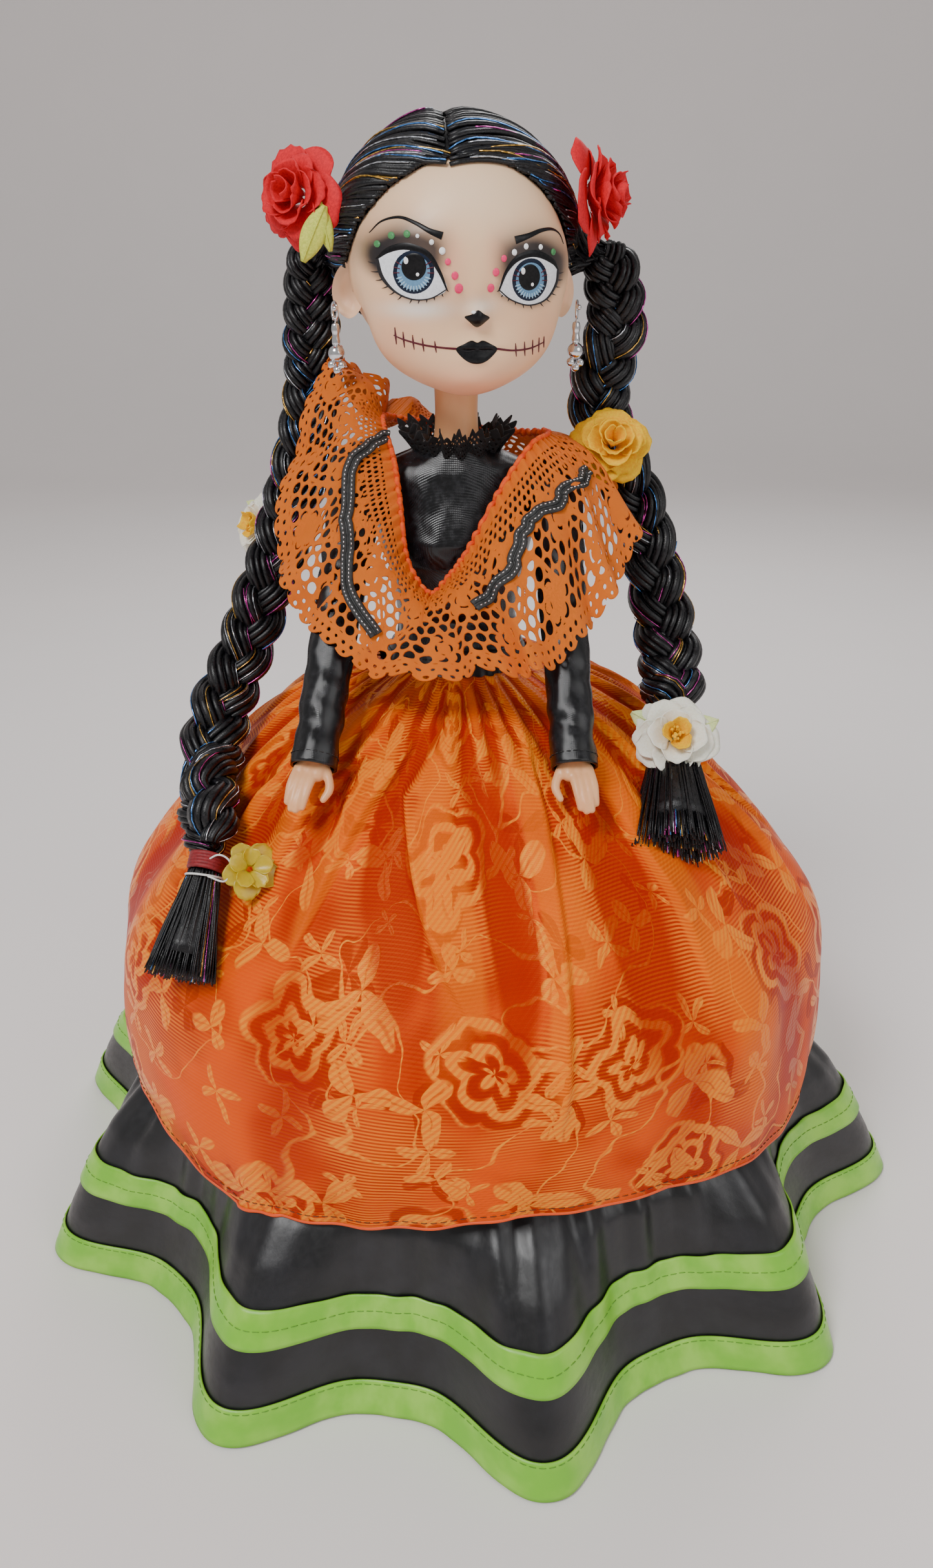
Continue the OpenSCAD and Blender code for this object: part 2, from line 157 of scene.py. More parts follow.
def tubes(paths, radius, sides=6, ref=(0.0, 0.0, 1.0), flat=1.0):
    """Closed tubes along paths of shape (tubes, points, 3). flat squashes them towards ref."""
    p = np.asarray(paths, float)
    if p.ndim == 2:
        p = p[None]
    m, n, _ = p.shape
    r = np.broadcast_to(np.asarray(radius, float), (m, n))
    t = unit(np.gradient(p, axis=1))
    up = unit(np.broadcast_to(np.asarray(ref, float), p.shape))
    side = unit(np.cross(t, up))
    top = np.cross(side, t)
    a = 2 * np.pi * np.arange(sides) / sides
    spoke = np.cos(a)[:, None] * side[:, :, None] + flat * np.sin(a)[:, None] * top[:, :, None]
    verts = (p[:, :, None] + r[:, :, None, None] * spoke).reshape(-1, 3)
    one = grid_faces(n, sides, True)
    base = (np.arange(m) * n * sides)[:, None, None]
    quads = (one[None] + base).reshape(-1, 4)
    ends = np.arange(sides)
    caps = np.concatenate([(ends + base[:, 0]), (ends[::-1] + (n - 1) * sides + base[:, 0])])
    return verts, [quads, caps]


def ball(centre, r, n=12, squash=(1, 1, 1)):
    el = np.linspace(-np.pi / 2, np.pi / 2, n // 2 + 1)[1:-1]
    az = 2 * np.pi * np.arange(n) / n
    e, a = np.meshgrid(el, az, indexing="ij")
    v = np.stack([np.cos(e) * np.cos(a), np.cos(e) * np.sin(a), np.sin(e)], -1).reshape(-1, 3)
    rows = len(el)
    v = np.concatenate([v, [[0, 0, -1], [0, 0, 1]]]) * r * np.asarray(squash) + np.asarray(centre)
    quads = grid_faces(rows, n, True)[:, ::-1]
    j = np.arange(n)
    low = np.stack([j, np.full(n, rows * n), (j + 1) % n], -1)
    high = np.stack([(rows - 1) * n + j, (rows - 1) * n + (j + 1) % n, np.full(n, rows * n + 1)], -1)
    return v, [quads, np.concatenate([low, high])]


def smooth_noise(x, y, seed, octaves=3):
    """Soft repeatable noise from sines, about -1 to 1."""
    rng = np.random.default_rng(seed)
    out = 0
    for k in range(octaves):
        f = 1.7**k
        for _ in range(3):
            ang, ph = rng.uniform(0, 2 * np.pi, 2)
            out = out + np.sin(f * (x * np.cos(ang) + y * np.sin(ang)) + ph) / (3 * 1.6**k)
    return out


# ---------------------------------------------------------------- materials
class Nodes:
    """A principled material with short helpers for its nodes."""

    def __init__(self, name, color, rough=0.5, metal=0.0, **sockets):
        self.mat = bpy.data.materials.new(name)
        self.mat.use_nodes = True
        self.tree = self.mat.node_tree
        self.shader = self.tree.nodes["Principled BSDF"]
        self.set(self.shader, "Base Color", (*color, 1))
        self.set(self.shader, "Roughness", rough)
        self.set(self.shader, "Metallic", metal)
        for key, value in sockets.items():
            self.set(self.shader, key.replace("_", " "), value)

    def set(self, node, socket, value):
        node.inputs[socket].default_value = value

    def node(self, kind, **values):
        """A new node: lower-case names set its properties, and the others set its sockets."""
        n = self.tree.nodes.new("ShaderNode" + kind)
        for key, value in values.items():
            if key.islower():
                setattr(n, key, value)
            else:
                self.set(n, key.replace("_", " "), value)
        return n

    def link(self, a, b):
        self.tree.links.new(a, b)

    def maths(self, op, a, b=None, c=None):
        n = self.node("Math", operation=op)
        for k, x in enumerate((a, b, c)):
            if x is None:
                continue
            if isinstance(x, (int, float)):
                n.inputs[k].default_value = x
            else:
                self.link(x, n.inputs[k])
        return n.outputs[0]

    def mix(self, factor, a, b):
        n = self.tree.nodes.new("ShaderNodeMix")
        n.data_type = "RGBA"
        for socket, x in ((n.inputs[0], factor), (n.inputs[6], a), (n.inputs[7], b)):
            if isinstance(x, (int, float)):
                socket.default_value = x
            elif isinstance(x, tuple):
                socket.default_value = (*x, 1) if len(x) == 3 else x
            else:
                self.link(x, socket)
        return n.outputs[2]

    def steps(self, value, low, high, out_low=0.0, out_high=1.0):
        n = self.node("MapRange", From_Min=low, From_Max=high, To_Min=out_low, To_Max=out_high,
                      interpolation_type="SMOOTHSTEP")
        self.link(value, n.inputs["Value"])
        return n.outputs["Result"]

    def cloth_uv(self):
        return self.node("UVMap", uv_map="cloth").outputs["UV"]

    def object_mm(self):
        """Object coordinates in millimetres."""
        coords = self.tree.nodes.new("ShaderNodeTexCoord").outputs["Object"]
        n = self.node("VectorMath", operation="SCALE")
        self.link(coords, n.inputs[0])
        self.set(n, "Scale", 1 / MM)
        return n.outputs[0]

    def noise(self, coords, scale, detail=2.0, rough=0.5):
        n = self.node("TexNoise", Scale=scale, Detail=detail, Roughness=rough)
        self.link(coords, n.inputs["Vector"])
        return n.outputs["Fac"]

    def color(self, out):
        self.link(out, self.shader.inputs["Base Color"])

    def rough(self, out):
        self.link(out, self.shader.inputs["Roughness"])

    def bump(self, height, strength, distance=0.0003):
        n = self.node("Bump", Strength=strength, Distance=distance)
        self.link(height, n.inputs["Height"])
        if self.shader.inputs["Normal"].is_linked:
            self.link(self.shader.inputs["Normal"].links[0].from_socket, n.inputs["Normal"])
        self.link(n.outputs["Normal"], self.shader.inputs["Normal"])


def weave(m, coords, pitch, strength, distance=0.0002, angle=0.0):
    """Crossed threads, one pitch apart, as bump; returns their height."""
    turn = m.node("VectorRotate", Angle=angle)
    m.link(coords, turn.inputs["Vector"])
    waves = []
    for direction in ("X", "Y"):
        w = m.node("TexWave", Scale=math.pi / 10 / pitch * 2, bands_direction=direction)
        m.link(turn.outputs[0], w.inputs["Vector"])
        waves.append(w.outputs["Fac"])
    height = m.maths("MAXIMUM", waves[0], waves[1])
    m.bump(height, strength, distance)
    return height


def mottled(name, color, other, rough, scale=0.3, bump=0.15, **sockets):
    """A plain surface with soft colour variation and a fine grain."""
    m = Nodes(name, color, rough, **sockets)
    coords = m.object_mm()
    spots = m.noise(coords, scale, 3)
    m.color(m.mix(m.steps(spots, 0.35, 0.65), tuple(color), tuple(other)))
    m.rough(m.steps(m.noise(coords, scale * 3, 2), 0.2, 0.8, rough * 0.85, min(1, rough * 1.15)))
    m.bump(m.noise(coords, scale * 14, 2), bump, 0.0001)
    return m.mat


def skin_material():
    m = Nodes("vinyl_skin", (0.9, 0.7, 0.55), 0.42, Subsurface_Weight=0.12,
              Subsurface_Scale=0.004, Specular_IOR_Level=0.45)
    m.set(m.shader, "Subsurface Radius", (1.0, 0.45, 0.25))
    coords = m.object_mm()
    tone = m.node("Attribute", attribute_name="tone")
    patch = m.steps(m.noise(coords, 0.06, 2), 0.3, 0.7)
    soft = m.mix(m.maths("MULTIPLY", patch, 0.10), tone.outputs["Color"], (0.96, 0.60, 0.40))
    m.color(soft)
    m.rough(m.steps(m.noise(coords, 0.5, 3), 0.2, 0.8, 0.38, 0.48))
    m.bump(m.noise(coords, 6, 2), 0.05, 0.0001)
    return m.mat


def plain_skin():
    return mottled("vinyl_skin_plain", (0.88, 0.46, 0.22), (0.86, 0.41, 0.19), 0.4, 0.08, 0.05,
                   Subsurface_Weight=0.1, Subsurface_Scale=0.003)


def hair_material():
    m = Nodes("hair_black", (0.006, 0.005, 0.007), 0.3, Specular_IOR_Level=0.45)
    coords = m.object_mm()
    streak = m.noise(coords, 1.2, 4, 0.6)
    m.color(m.mix(m.steps(streak, 0.45, 0.75), (0.002, 0.002, 0.003), (0.012, 0.010, 0.014)))
    m.rough(m.steps(streak, 0.3, 0.7, 0.24, 0.42))
    m.bump(m.noise(coords, 5, 3), 0.35, 0.0002)
    return m.mat


def tinsel(name, color):
    m = Nodes(name, color, 0.22, 0.9)
    coords = m.object_mm()
    glint = m.noise(coords, 0.9, 2)
    dark = tuple(c * 0.45 for c in color)
    m.color(m.mix(m.steps(glint, 0.4, 0.6), dark, color))
    return m.mat


def knit_material():
    m = Nodes("knit_black", (0.01, 0.01, 0.011), 0.25, Specular_IOR_Level=0.5)
    coords = m.object_mm()
    height = weave(m, coords, 0.55, 0.25, 0.00012)
    # lighter grey patches on the tops of the threads: partly wear, partly painted sheen
    wear_and_sheen = m.noise(coords, 0.5, 2, 0.5)
    fac = m.maths("MULTIPLY", m.steps(wear_and_sheen, 0.4, 0.65), m.steps(height, 0.3, 0.9))
    m.color(m.mix(fac, (0.002, 0.002, 0.003), (0.012, 0.012, 0.015)))
    m.rough(m.steps(wear_and_sheen, 0.35, 0.7, 0.17, 0.28))
    m.bump(m.noise(coords, 0.12, 2), 0.3, 0.0008)
    return m.mat


def lace_material(name, base, deep, rough=0.7):
    m = Nodes(name, base, rough)
    uv = m.cloth_uv()
    w = m.node("TexWave", Scale=2.2, Distortion=2.5, Detail=2.0, bands_direction="X")
    m.link(uv, w.inputs["Vector"])
    fibre = m.noise(uv, 9, 3)
    fac = m.maths("MULTIPLY", m.steps(w.outputs["Fac"], 0.2, 0.8), m.steps(fibre, 0.3, 0.7))
    m.color(m.mix(fac, deep, base))
    m.bump(w.outputs["Fac"], 0.6, 0.0003)
    m.bump(fibre, 0.5, 0.0002)
    return m.mat


def satin_material(name, base, light, rough, pitch=0.3, **sockets):
    m = Nodes(name, base, rough, **sockets)
    uv = m.cloth_uv()
    broad = m.noise(uv, 0.08, 3)
    m.color(m.mix(m.steps(broad, 0.35, 0.7), base, light))
    m.rough(m.steps(m.noise(uv, 0.5, 2), 0.2, 0.8, rough * 0.85, rough * 1.2))
    weave(m, uv, pitch, 0.12, 0.0001, 0.6)
    m.bump(m.noise(uv, 0.25, 3), 0.18, 0.0006)
    return m.mat


def jacquard_material():
    """Orange satin with paler woven roses, leaves and stems, and fine level ribs, in millimetres of cloth.

    The mesh's own attribute "fold" paints light and shade on it: a painted highlight on the ridges, where it is
    low, and painted shade, deep red, in the valleys, where it is high.
    """
    m = Nodes("jacquard_orange", (0.9, 0.12, 0.005), 0.42, Specular_IOR_Level=0.2,
              Specular_Tint=(1.0, 0.42, 0.12, 1.0))
    uv = m.cloth_uv()
    warp = m.node("TexNoise", Scale=0.05, Detail=2.0)
    m.link(uv, warp.inputs["Vector"])
    off = m.node("VectorMath", operation="MULTIPLY_ADD")
    m.link(warp.outputs["Color"], off.inputs[0])
    off.inputs[1].default_value = (14, 14, 0)
    m.link(uv, off.inputs[2])
    bent = off.outputs[0]

    def motif(pitch, seed):
        """The place in the nearest cell: distance in millimetres, angle, and a random number of the cell."""
        shift = m.node("VectorMath", operation="ADD")
        m.link(bent, shift.inputs[0])
        shift.inputs[1].default_value = (seed, seed * 0.7, 0)
        cell = m.node("TexVoronoi", Scale=1 / pitch, Randomness=0.55, voronoi_dimensions="2D")
        m.link(shift.outputs[0], cell.inputs["Vector"])
        diff = m.node("VectorMath", operation="SUBTRACT")
        m.link(shift.outputs[0], diff.inputs[0])
        m.link(cell.outputs["Position"], diff.inputs[1])
        parts = m.node("SeparateXYZ")
        m.link(diff.outputs[0], parts.inputs[0])
        length = m.node("VectorMath", operation="LENGTH")
        m.link(diff.outputs[0], length.inputs[0])
        angle = m.maths("ARCTAN2", parts.outputs[1], parts.outputs[0])
        rnd = m.node("SeparateColor")
        m.link(cell.outputs["Color"], rnd.inputs[0])
        turned = m.maths("MULTIPLY_ADD", rnd.outputs[0], 6.28, angle)
        return length.outputs["Value"], turned, rnd.outputs[1]

    def rounded(dist, ang, lobes, depth):
        """Distance drawn in between the lobes, so that its contours are petals."""
        wave = m.maths("ABSOLUTE", m.maths("SINE", m.maths("MULTIPLY", ang, lobes / 2)))
        return m.maths("SUBTRACT", dist, m.maths("MULTIPLY", wave, depth))

    # roses: rings of petals that turn round their middle
    dist, ang, _ = motif(60, 11.0)
    reach = rounded(dist, ang, 5, 3.4)
    turn = m.maths("SINE", m.maths("MULTIPLY_ADD", reach, 0.85, ang))
    rose = m.steps(reach, 14.5, 13.0)
    rose_light = m.maths("MULTIPLY", rose, m.steps(turn, 0.0, 0.5))
    rose_dark = m.maths("MULTIPLY", rose, m.steps(turn, -0.1, -0.6))

    def leaves(pitch, seed, size, lobes):
        """Sprays of pointed leaves with veins."""
        dist, ang, rnd = motif(pitch, seed)
        lobe = m.maths("ABSOLUTE", m.maths("COSINE", m.maths("MULTIPLY", ang, lobes / 2)))
        long = m.maths("MULTIPLY_ADD", rnd, 0.5 * size, 0.7 * size)
        edge = m.maths("MULTIPLY", m.maths("POWER", lobe, 2.2), long)
        leaf = m.steps(m.maths("SUBTRACT", edge, dist), 0.0, 0.9)
        vein = m.steps(m.maths("ABSOLUTE", m.maths("SINE", m.maths("MULTIPLY", ang, lobes * 1.5))), 0.05, 0.4)
        return m.maths("MULTIPLY", leaf, m.maths("MULTIPLY_ADD", vein, 0.55, 0.45))

    pale = leaves(33, 53.0, 13, 3)
    pale = m.maths("MAXIMUM", pale, leaves(25, 17.0, 8, 4))
    dark = leaves(38, 91.0, 12, 3)
    # stems: narrow contour lines of a slow noise
    flow = m.noise(bent, 0.028, 1)
    stem = m.steps(m.maths("ABSOLUTE", m.maths("SUBTRACT", flow, 0.5)), 0.008, 0.003)
    pale = m.maths("MAXIMUM", m.maths("MAXIMUM", pale, rose_light), stem)
    dark = m.maths("MULTIPLY", m.maths("MAXIMUM", dark, rose_dark), m.maths("SUBTRACT", 1.0, pale))

    def ribs(pitch, direction):
        w = m.node("TexWave", Scale=math.pi / 10 / pitch, bands_direction=direction)
        m.link(uv, w.inputs["Vector"])
        return w.outputs["Fac"]

    rib = m.steps(ribs(1.15, "Y"), 0.25, 0.75)
    hatch = m.steps(ribs(1.2, "DIAGONAL"), 0.3, 0.8)
    # how deep in a fold each point lies, read for the painted light and shade below
    fold = m.node("Attribute", attribute_name="fold").outputs["Fac"]
    zone = m.steps(m.noise(uv, 0.022, 2), 0.40, 0.60)
    shine = m.steps(m.noise(uv, 0.03, 2), 0.35, 0.65)
    ground = m.mix(shine, (0.50, 0.020, 0.0), (0.84, 0.085, 0.0))
    lines = m.maths("MULTIPLY", rib, m.maths("MULTIPLY_ADD", zone, 0.7, 0.08))
    ground = m.mix(m.maths("MULTIPLY", zone, 0.6), ground, (0.45, 0.020, 0.002))
    lined = m.mix(lines, ground, (1.0, 0.24, 0.012))
    shaded = m.mix(m.maths("MULTIPLY", dark, 0.75), lined, (0.40, 0.010, 0.0))
    thread = m.mix(m.maths("MULTIPLY", hatch, 0.6), (1.0, 0.34, 0.025), (0.90, 0.12, 0.002))
    cloth = m.mix(m.maths("MULTIPLY", pale, 0.82), shaded, thread)
    # painted highlight: lighter orange on the ridges of the folds
    painted_ridge_light = m.mix(m.steps(fold, 0.42, 0.10, 0.0, 0.45), cloth, (0.98, 0.20, 0.003))
    # painted shade: deep red in the valleys of the folds
    m.color(m.mix(m.steps(fold, 0.52, 0.85, 0.0, 0.8), painted_ridge_light, (0.42, 0.006, 0.0)))
    m.rough(m.steps(pale, 0.0, 1.0, 0.46, 0.30))
    m.bump(rib, 0.25, 0.0002)
    m.bump(m.maths("MULTIPLY_ADD", hatch, 0.35, pale), 0.35, 0.0003)
    return m.mat


def paper_material(name, color, deep):
    m = Nodes(name, color, 0.75, Subsurface_Weight=0.1, Subsurface_Scale=0.002)
    coords = m.object_mm()
    fibre = m.noise(coords, 1.5, 4, 0.7)
    m.color(m.mix(m.steps(fibre, 0.3, 0.7), deep, color))
    m.bump(fibre, 0.3, 0.0002)
    return m.mat


def metal_material(name, color, rough):
    m = Nodes(name, color, rough, 1.0)
    coords = m.object_mm()
    m.rough(m.steps(m.noise(coords, 2.0, 3), 0.3, 0.7, rough * 0.7, rough * 1.5))
    m.color(m.mix(m.noise(coords, 0.7, 2), color, tuple(c * 0.82 for c in color)))
    return m.mat


def paint_material(name, color, rough=0.35):
    """Face paint: a coat with small strokes in it."""
    m = Nodes(name, color, rough, Specular_IOR_Level=0.25)
    coords = m.object_mm()
    other = tuple(min(1, c * 1.12 + 0.004) for c in color)
    m.color(m.mix(m.steps(m.noise(coords, 1.6, 3), 0.35, 0.65), color, other))
    m.rough(m.steps(m.noise(coords, 1.0, 2), 0.2, 0.8, rough * 0.8, rough * 1.2))
    return m.mat


SKIN = skin_material()
BODY_SKIN = plain_skin()
HAIR = hair_material()
TINSEL = [
    tinsel("tinsel_gold", (0.95, 0.55, 0.12)),
    tinsel("tinsel_blue", (0.12, 0.38, 0.95)),
    tinsel("tinsel_pink", (0.85, 0.10, 0.55)),
    tinsel("tinsel_silver", (0.75, 0.78, 0.85)),
]
KNIT = knit_material()
LACE = lace_material("lace_orange", (1.0, 0.34, 0.008), (0.95, 0.16, 0.001))
BLACK_LACE = lace_material("lace_black", (0.02, 0.02, 0.022), (0.004, 0.004, 0.005), 0.6)
JACQUARD = jacquard_material()
SATIN = satin_material("satin_black", (0.005, 0.005, 0.006), (0.012, 0.012, 0.015), 0.33,
                       Specular_IOR_Level=0.6)
RIBBON = satin_material("ribbon_lime", (0.20, 0.56, 0.025), (0.34, 0.70, 0.07), 0.33, 0.25,
                        Specular_IOR_Level=0.55)
THREAD_DARK = mottled("thread_brown", (0.10, 0.03, 0.01), (0.16, 0.05, 0.02), 0.8, 1.0)
THREAD_GREEN = mottled("thread_green", (0.10, 0.28, 0.03), (0.15, 0.36, 0.05), 0.8, 1.0)
THREAD_BLACK = mottled("thread_black", (0.012, 0.012, 0.012), (0.03, 0.03, 0.03), 0.6, 1.0)
PAPER_RED = paper_material("paper_red", (0.82, 0.006, 0.018), (0.58, 0.002, 0.010))
PAPER_WHITE = paper_material("paper_white", (0.93, 0.90, 0.80), (0.86, 0.80, 0.66))
PAPER_YELLOW = paper_material("paper_yellow", (0.98, 0.62, 0.0), (0.90, 0.42, 0.0))
SILVER = metal_material("silver_bead", (0.82, 0.82, 0.84), 0.14)
STEEL = metal_material("stand_steel", (0.62, 0.62, 0.64), 0.3)
STAND = mottled("stand_plastic", (0.86, 0.86, 0.87), (0.80, 0.80, 0.82), 0.35, 0.1)
SHOE = mottled("shoe_black", (0.015, 0.015, 0.017), (0.03, 0.03, 0.032), 0.3, 0.2)
BAND = mottled("band_red", (0.20, 0.008, 0.012), (0.30, 0.015, 0.02), 0.5, 1.2, 0.4)
ELASTIC = mottled("elastic_white", (0.85, 0.85, 0.82), (0.75, 0.75, 0.72), 0.4, 1.0)


# ---------------------------------------------------------------- camera, floor and light
CAMERA_AT = (-0.001, -0.349, 0.301)
CAMERA_DOWN = math.radians(24.5)
LIGHT_TARGET = (0, 0, 0.17)      # the doll's middle


def make_camera():
    cam = bpy.data.cameras.new("camera")
    cam.lens = 26.0
    cam.sensor_width = 36.0
    cam.clip_start = 0.01
    cam.clip_end = 20
    ob = bpy.data.objects.new("camera", cam)
    ob.location = CAMERA_AT
    ob.rotation_euler = (math.radians(90) - CAMERA_DOWN, 0, 0)
    bpy.context.scene.collection.objects.link(ob)
    bpy.context.scene.camera = ob


def make_stage():
    """A pale floor that curves up into a plain backdrop."""
    half, reach, bend = 3.0, 2.0, 0.6
    profile = [(-3.0, 0.0), (reach - bend, 0.0)]
    curve = np.linspace(0.1, 1.57, 14)
    profile += [(reach - bend + bend * math.sin(a), bend - bend * math.cos(a)) for a in curve]
    profile += [(reach, 3.5)]
    co = [(x, y, z - 0.0002) for y, z in profile for x in (-half, half)]
    faces = [(2 * k, 2 * k + 1, 2 * k + 3, 2 * k + 2) for k in range(len(profile) - 1)]
    me = bpy.data.meshes.new("floor")
    me.from_pydata(co, [], faces)
    for p in me.polygons:
        p.use_smooth = True
    ob = bpy.data.objects.new("floor", me)
    bpy.context.scene.collection.objects.link(ob)
    m = Nodes("floor_pale", (0.82, 0.78, 0.76), 0.8)
    coords = m.object_mm()
    m.color(m.mix(m.noise(coords, 0.01, 3), (0.93, 0.88, 0.87), (0.90, 0.85, 0.84)))
    me.materials.append(m.mat)


def area_light(name, at, size, power):
    light = bpy.data.lights.new(name, "AREA")
    light.shape = "DISK"
    light.size = size
    light.energy = power
    ob = bpy.data.objects.new(name, light)
    ob.location = at
    ob.rotation_euler = (Vector(LIGHT_TARGET) - Vector(at)).to_track_quat("-Z", "Y").to_euler()
    bpy.context.scene.collection.objects.link(ob)


def make_light():
    world = bpy.data.worlds.new("studio")
    world.use_nodes = True
    world.node_tree.nodes["Background"].inputs[0].default_value = (1.0, 0.98, 0.96, 1)
    world.node_tree.nodes["Background"].inputs[1].default_value = 0.42
    bpy.context.scene.world = world
    area_light("key", (-0.5, -0.7, 1.1), 0.45, 11)
    area_light("fill", (0.8, -0.7, 0.7), 0.7, 3)
    area_light("back", (0.2, 0.8, 0.9), 0.6, 4)


make_camera()
make_stage()
make_light()


# ---------------------------------------------------------------- head
HEAD_MID = np.array([0.0, 2.0, 300.0])
HEAD_BALLS = np.array([
    [0, 5, 304, 30.5], [-12.5, -13, 286.5, 12.6], [12.5, -13, 286.5, 12.6], [0, -18.5, 278, 9.4],
    [-6.5, -16.5, 281.5, 10.8], [6.5, -16.5, 281.5, 10.8],
    [-10, -12, 300, 18.5], [10, -12, 300, 18.5], [0, -8, 306, 24.5]], float)
BLEND = 14      # how sharply the balls of the head run into each other
SOFTEN = math.radians(9)


def head_radius(d):
    """Distance from HEAD_MID to the vinyl along the unit directions d, averaged over a small cone."""
    side = unit(np.cross(d, [0.02, 0.01, 1.0]))
    up = np.cross(side, d)
    total, weight = ball_radius(d) * 2, 2
    for reach, count in ((0.45, 6), (1.0, 10)):
        for a in 2 * np.pi * np.arange(count) / count:
            tilt = math.tan(SOFTEN * reach)
            total = total + ball_radius(unit(d + tilt * (math.cos(a) * side + math.sin(a) * up)))
            weight += 1
    return total / weight


def ball_radius(d):
    total = 0
    for *c, r in HEAD_BALLS:
        c = np.array(c) - HEAD_MID
        dc = d @ c
        disc = r * r - (c @ c - dc**2)
        t = np.where(disc > 0, dc + np.sqrt(np.maximum(disc, 0)), np.maximum(dc, 0) * 0.9)
        total = total + np.maximum(t, 1e-3) ** BLEND
    return total ** (1 / BLEND)


def bumpy(p, at, size, height):
    """A soft bump of the given height round a point (x, z) of the face."""
    q = ((p[..., 0] - at[0]) / size[0]) ** 2 + ((p[..., 2] - at[1]) / size[1]) ** 2
    return height * np.exp(-q) * (p[..., 1] < -5)


EYES = [
    # outline from the outer corner over the top, middle of the iris, middle of the pupil
    ([(-24.3, 303.2), (-21.3, 305.2), (-17.1, 305.9), (-12.2, 304.2), (-9.2, 300.3), (-7.2, 296.0),
      (-11.1, 293.9), (-15.6, 293.6), (-19.9, 295.3), (-23.1, 298.8)], (-15.4, 300.0), (-15.3, 301.2)),
    ([(23.4, 300.6), (21.4, 302.6), (16.2, 304.3), (11.4, 303.3), (8.3, 300.3), (6.5, 295.8),
      (10.0, 293.4), (15.0, 292.1), (19.9, 293.4), (22.9, 297.0)], (14.9, 298.2), (14.6, 298.8)),
]


def head_surface(az, el):
    d = np.stack([np.cos(el) * np.cos(az), np.cos(el) * np.sin(az), np.sin(el)], -1)
    p = HEAD_MID + d * head_radius(d)[..., None]
    lift = bumpy(p, (1.0, 289.6), (2.6, 2.2), 2.6) + bumpy(p, (1.0, 295), (2.2, 5), 0.7)
    lift += bumpy(p, (1.2, 282.4), (5.2, 1.4), 0.9) + bumpy(p, (1.2, 279.2), (3.8, 1.5), 0.8)
    lift += bumpy(p, (1.2, 281.2), (6.5, 0.45), -0.5) + bumpy(p, (0.9, 273.5), (6, 3), 0.6)
    lift += bumpy(p, (-15.5, 299.5), (7, 4.6), -0.9) + bumpy(p, (15, 298), (7, 4.6), -0.9)
    lift += bumpy(p, (-16, 309), (8, 2), 0.35) + bumpy(p, (16, 308), (8, 2), 0.35)
    return p + d * lift[..., None]


def head_paint(p):
    """Soft painted tones of the face, per point: skin, blush, smoky lids, white under the eye."""
    x, y, z = p[..., 0], p[..., 1], p[..., 2]
    base = np.array([0.97, 0.62, 0.37])
    rgb = np.broadcast_to(base, p.shape).copy()
    front = y < -3

    def wash(color, weight):
        w = np.clip(weight, 0, 1)[..., None] * front[..., None]
        rgb[:] = rgb * (1 - w) + np.array(color) * w

    wash((0.97, 0.76, 0.54), 0.6 * np.exp(-((x / 17) ** 2 + ((z - 318) / 9) ** 2)))
    wash((0.95, 0.38, 0.22), 0.65 * np.exp(-(((z - 270.5) / 6) ** 2 + (x / 20) ** 2)))
    for s in (-1, 1):
        wash((0.96, 0.44, 0.25), 0.45 * np.exp(-(((x - s * 21) / 7) ** 2 + ((z - 283) / 9) ** 2)))
        wash((0.90, 0.44, 0.28), 0.55 * np.exp(-(((x - s * 6) / 3) ** 2 + ((z - 303) / 6) ** 2)))
    wash((0.90, 0.55, 0.40), 0.4 * np.exp(-(((x - 1.1) / 3.5) ** 2 + ((z - 287) / 1.6) ** 2)))
    wash((0.97, 0.93, 0.86), 0.85 * np.exp(-(((x + 14) / 8) ** 2 + ((z - 291.2) / 2.2) ** 2)))
    wash((0.97, 0.93, 0.86), 0.5 * np.exp(-(((x - 2) / 4) ** 2 + ((z - 292) / 2.0) ** 2)))
    for (outline, iris, _), side in zip(EYES, (-1, 1)):
        ring = spline(outline, 60, closed=True)
        gap = np.full(x.shape, 99.0)
        for px, pz in ring:
            gap = np.minimum(gap, np.hypot(x - px, z - pz))
        # the smoky lid is widest above the outer half and runs out towards the lower corner
        ang = np.arctan2(z - iris[1], side * (x - iris[0]))
        lid = np.clip(np.sin(ang + 0.15) * 1.25 + 0.22, 0, 1)
        wide = 0.9 + 3.4 * lid
        wash((0.16, 0.09, 0.07), 0.65 * np.exp(-((gap / (wide * 1.5)) ** 2)) * (0.30 + 0.7 * lid))
        wash((0.012, 0.010, 0.013), 1.35 * np.exp(-((gap / wide) ** 2)) * (0.34 + 0.66 * lid))
    return rgb


def make_head():
    rows, cols = 230, 340
    pole = 0.5 * np.pi - 0.004
    a = 2 * np.pi * np.arange(cols) / cols
    a = a - 0.35 * np.sin(2 * (a + np.pi / 2)) * 0.5 + np.pi / 2      # closer together on the face
    el, az = np.meshgrid(np.linspace(-pole, pole, rows), a, indexing="ij")
    p = head_surface(az, el)
    tree = BVHTree.FromPolygons([tuple(v) for v in p.reshape(-1, 3)],
                                [tuple(f) for f in grid_faces(rows, cols, True)])
    soup = Soup()
    soup.add(to_world(p), grid_faces(rows, cols, True)[:, ::-1])
    tones = [head_paint(p).reshape(-1, 3)]
    for side in (-1, 1):
        v, f = ear(side)
        soup.add(to_world(v), f)
        tones.append(np.tile([0.95, 0.58, 0.36], (len(v), 1)))
    ob = soup.build("head_vinyl", [SKIN], "head")
    layer = ob.data.color_attributes.new("tone", "FLOAT_COLOR", "POINT")
    rgba = np.concatenate([np.concatenate(tones), np.ones((sum(map(len, tones)), 1))], 1)
    layer.data.foreach_set("color", rgba.ravel())
    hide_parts("head_shell")
    return tree


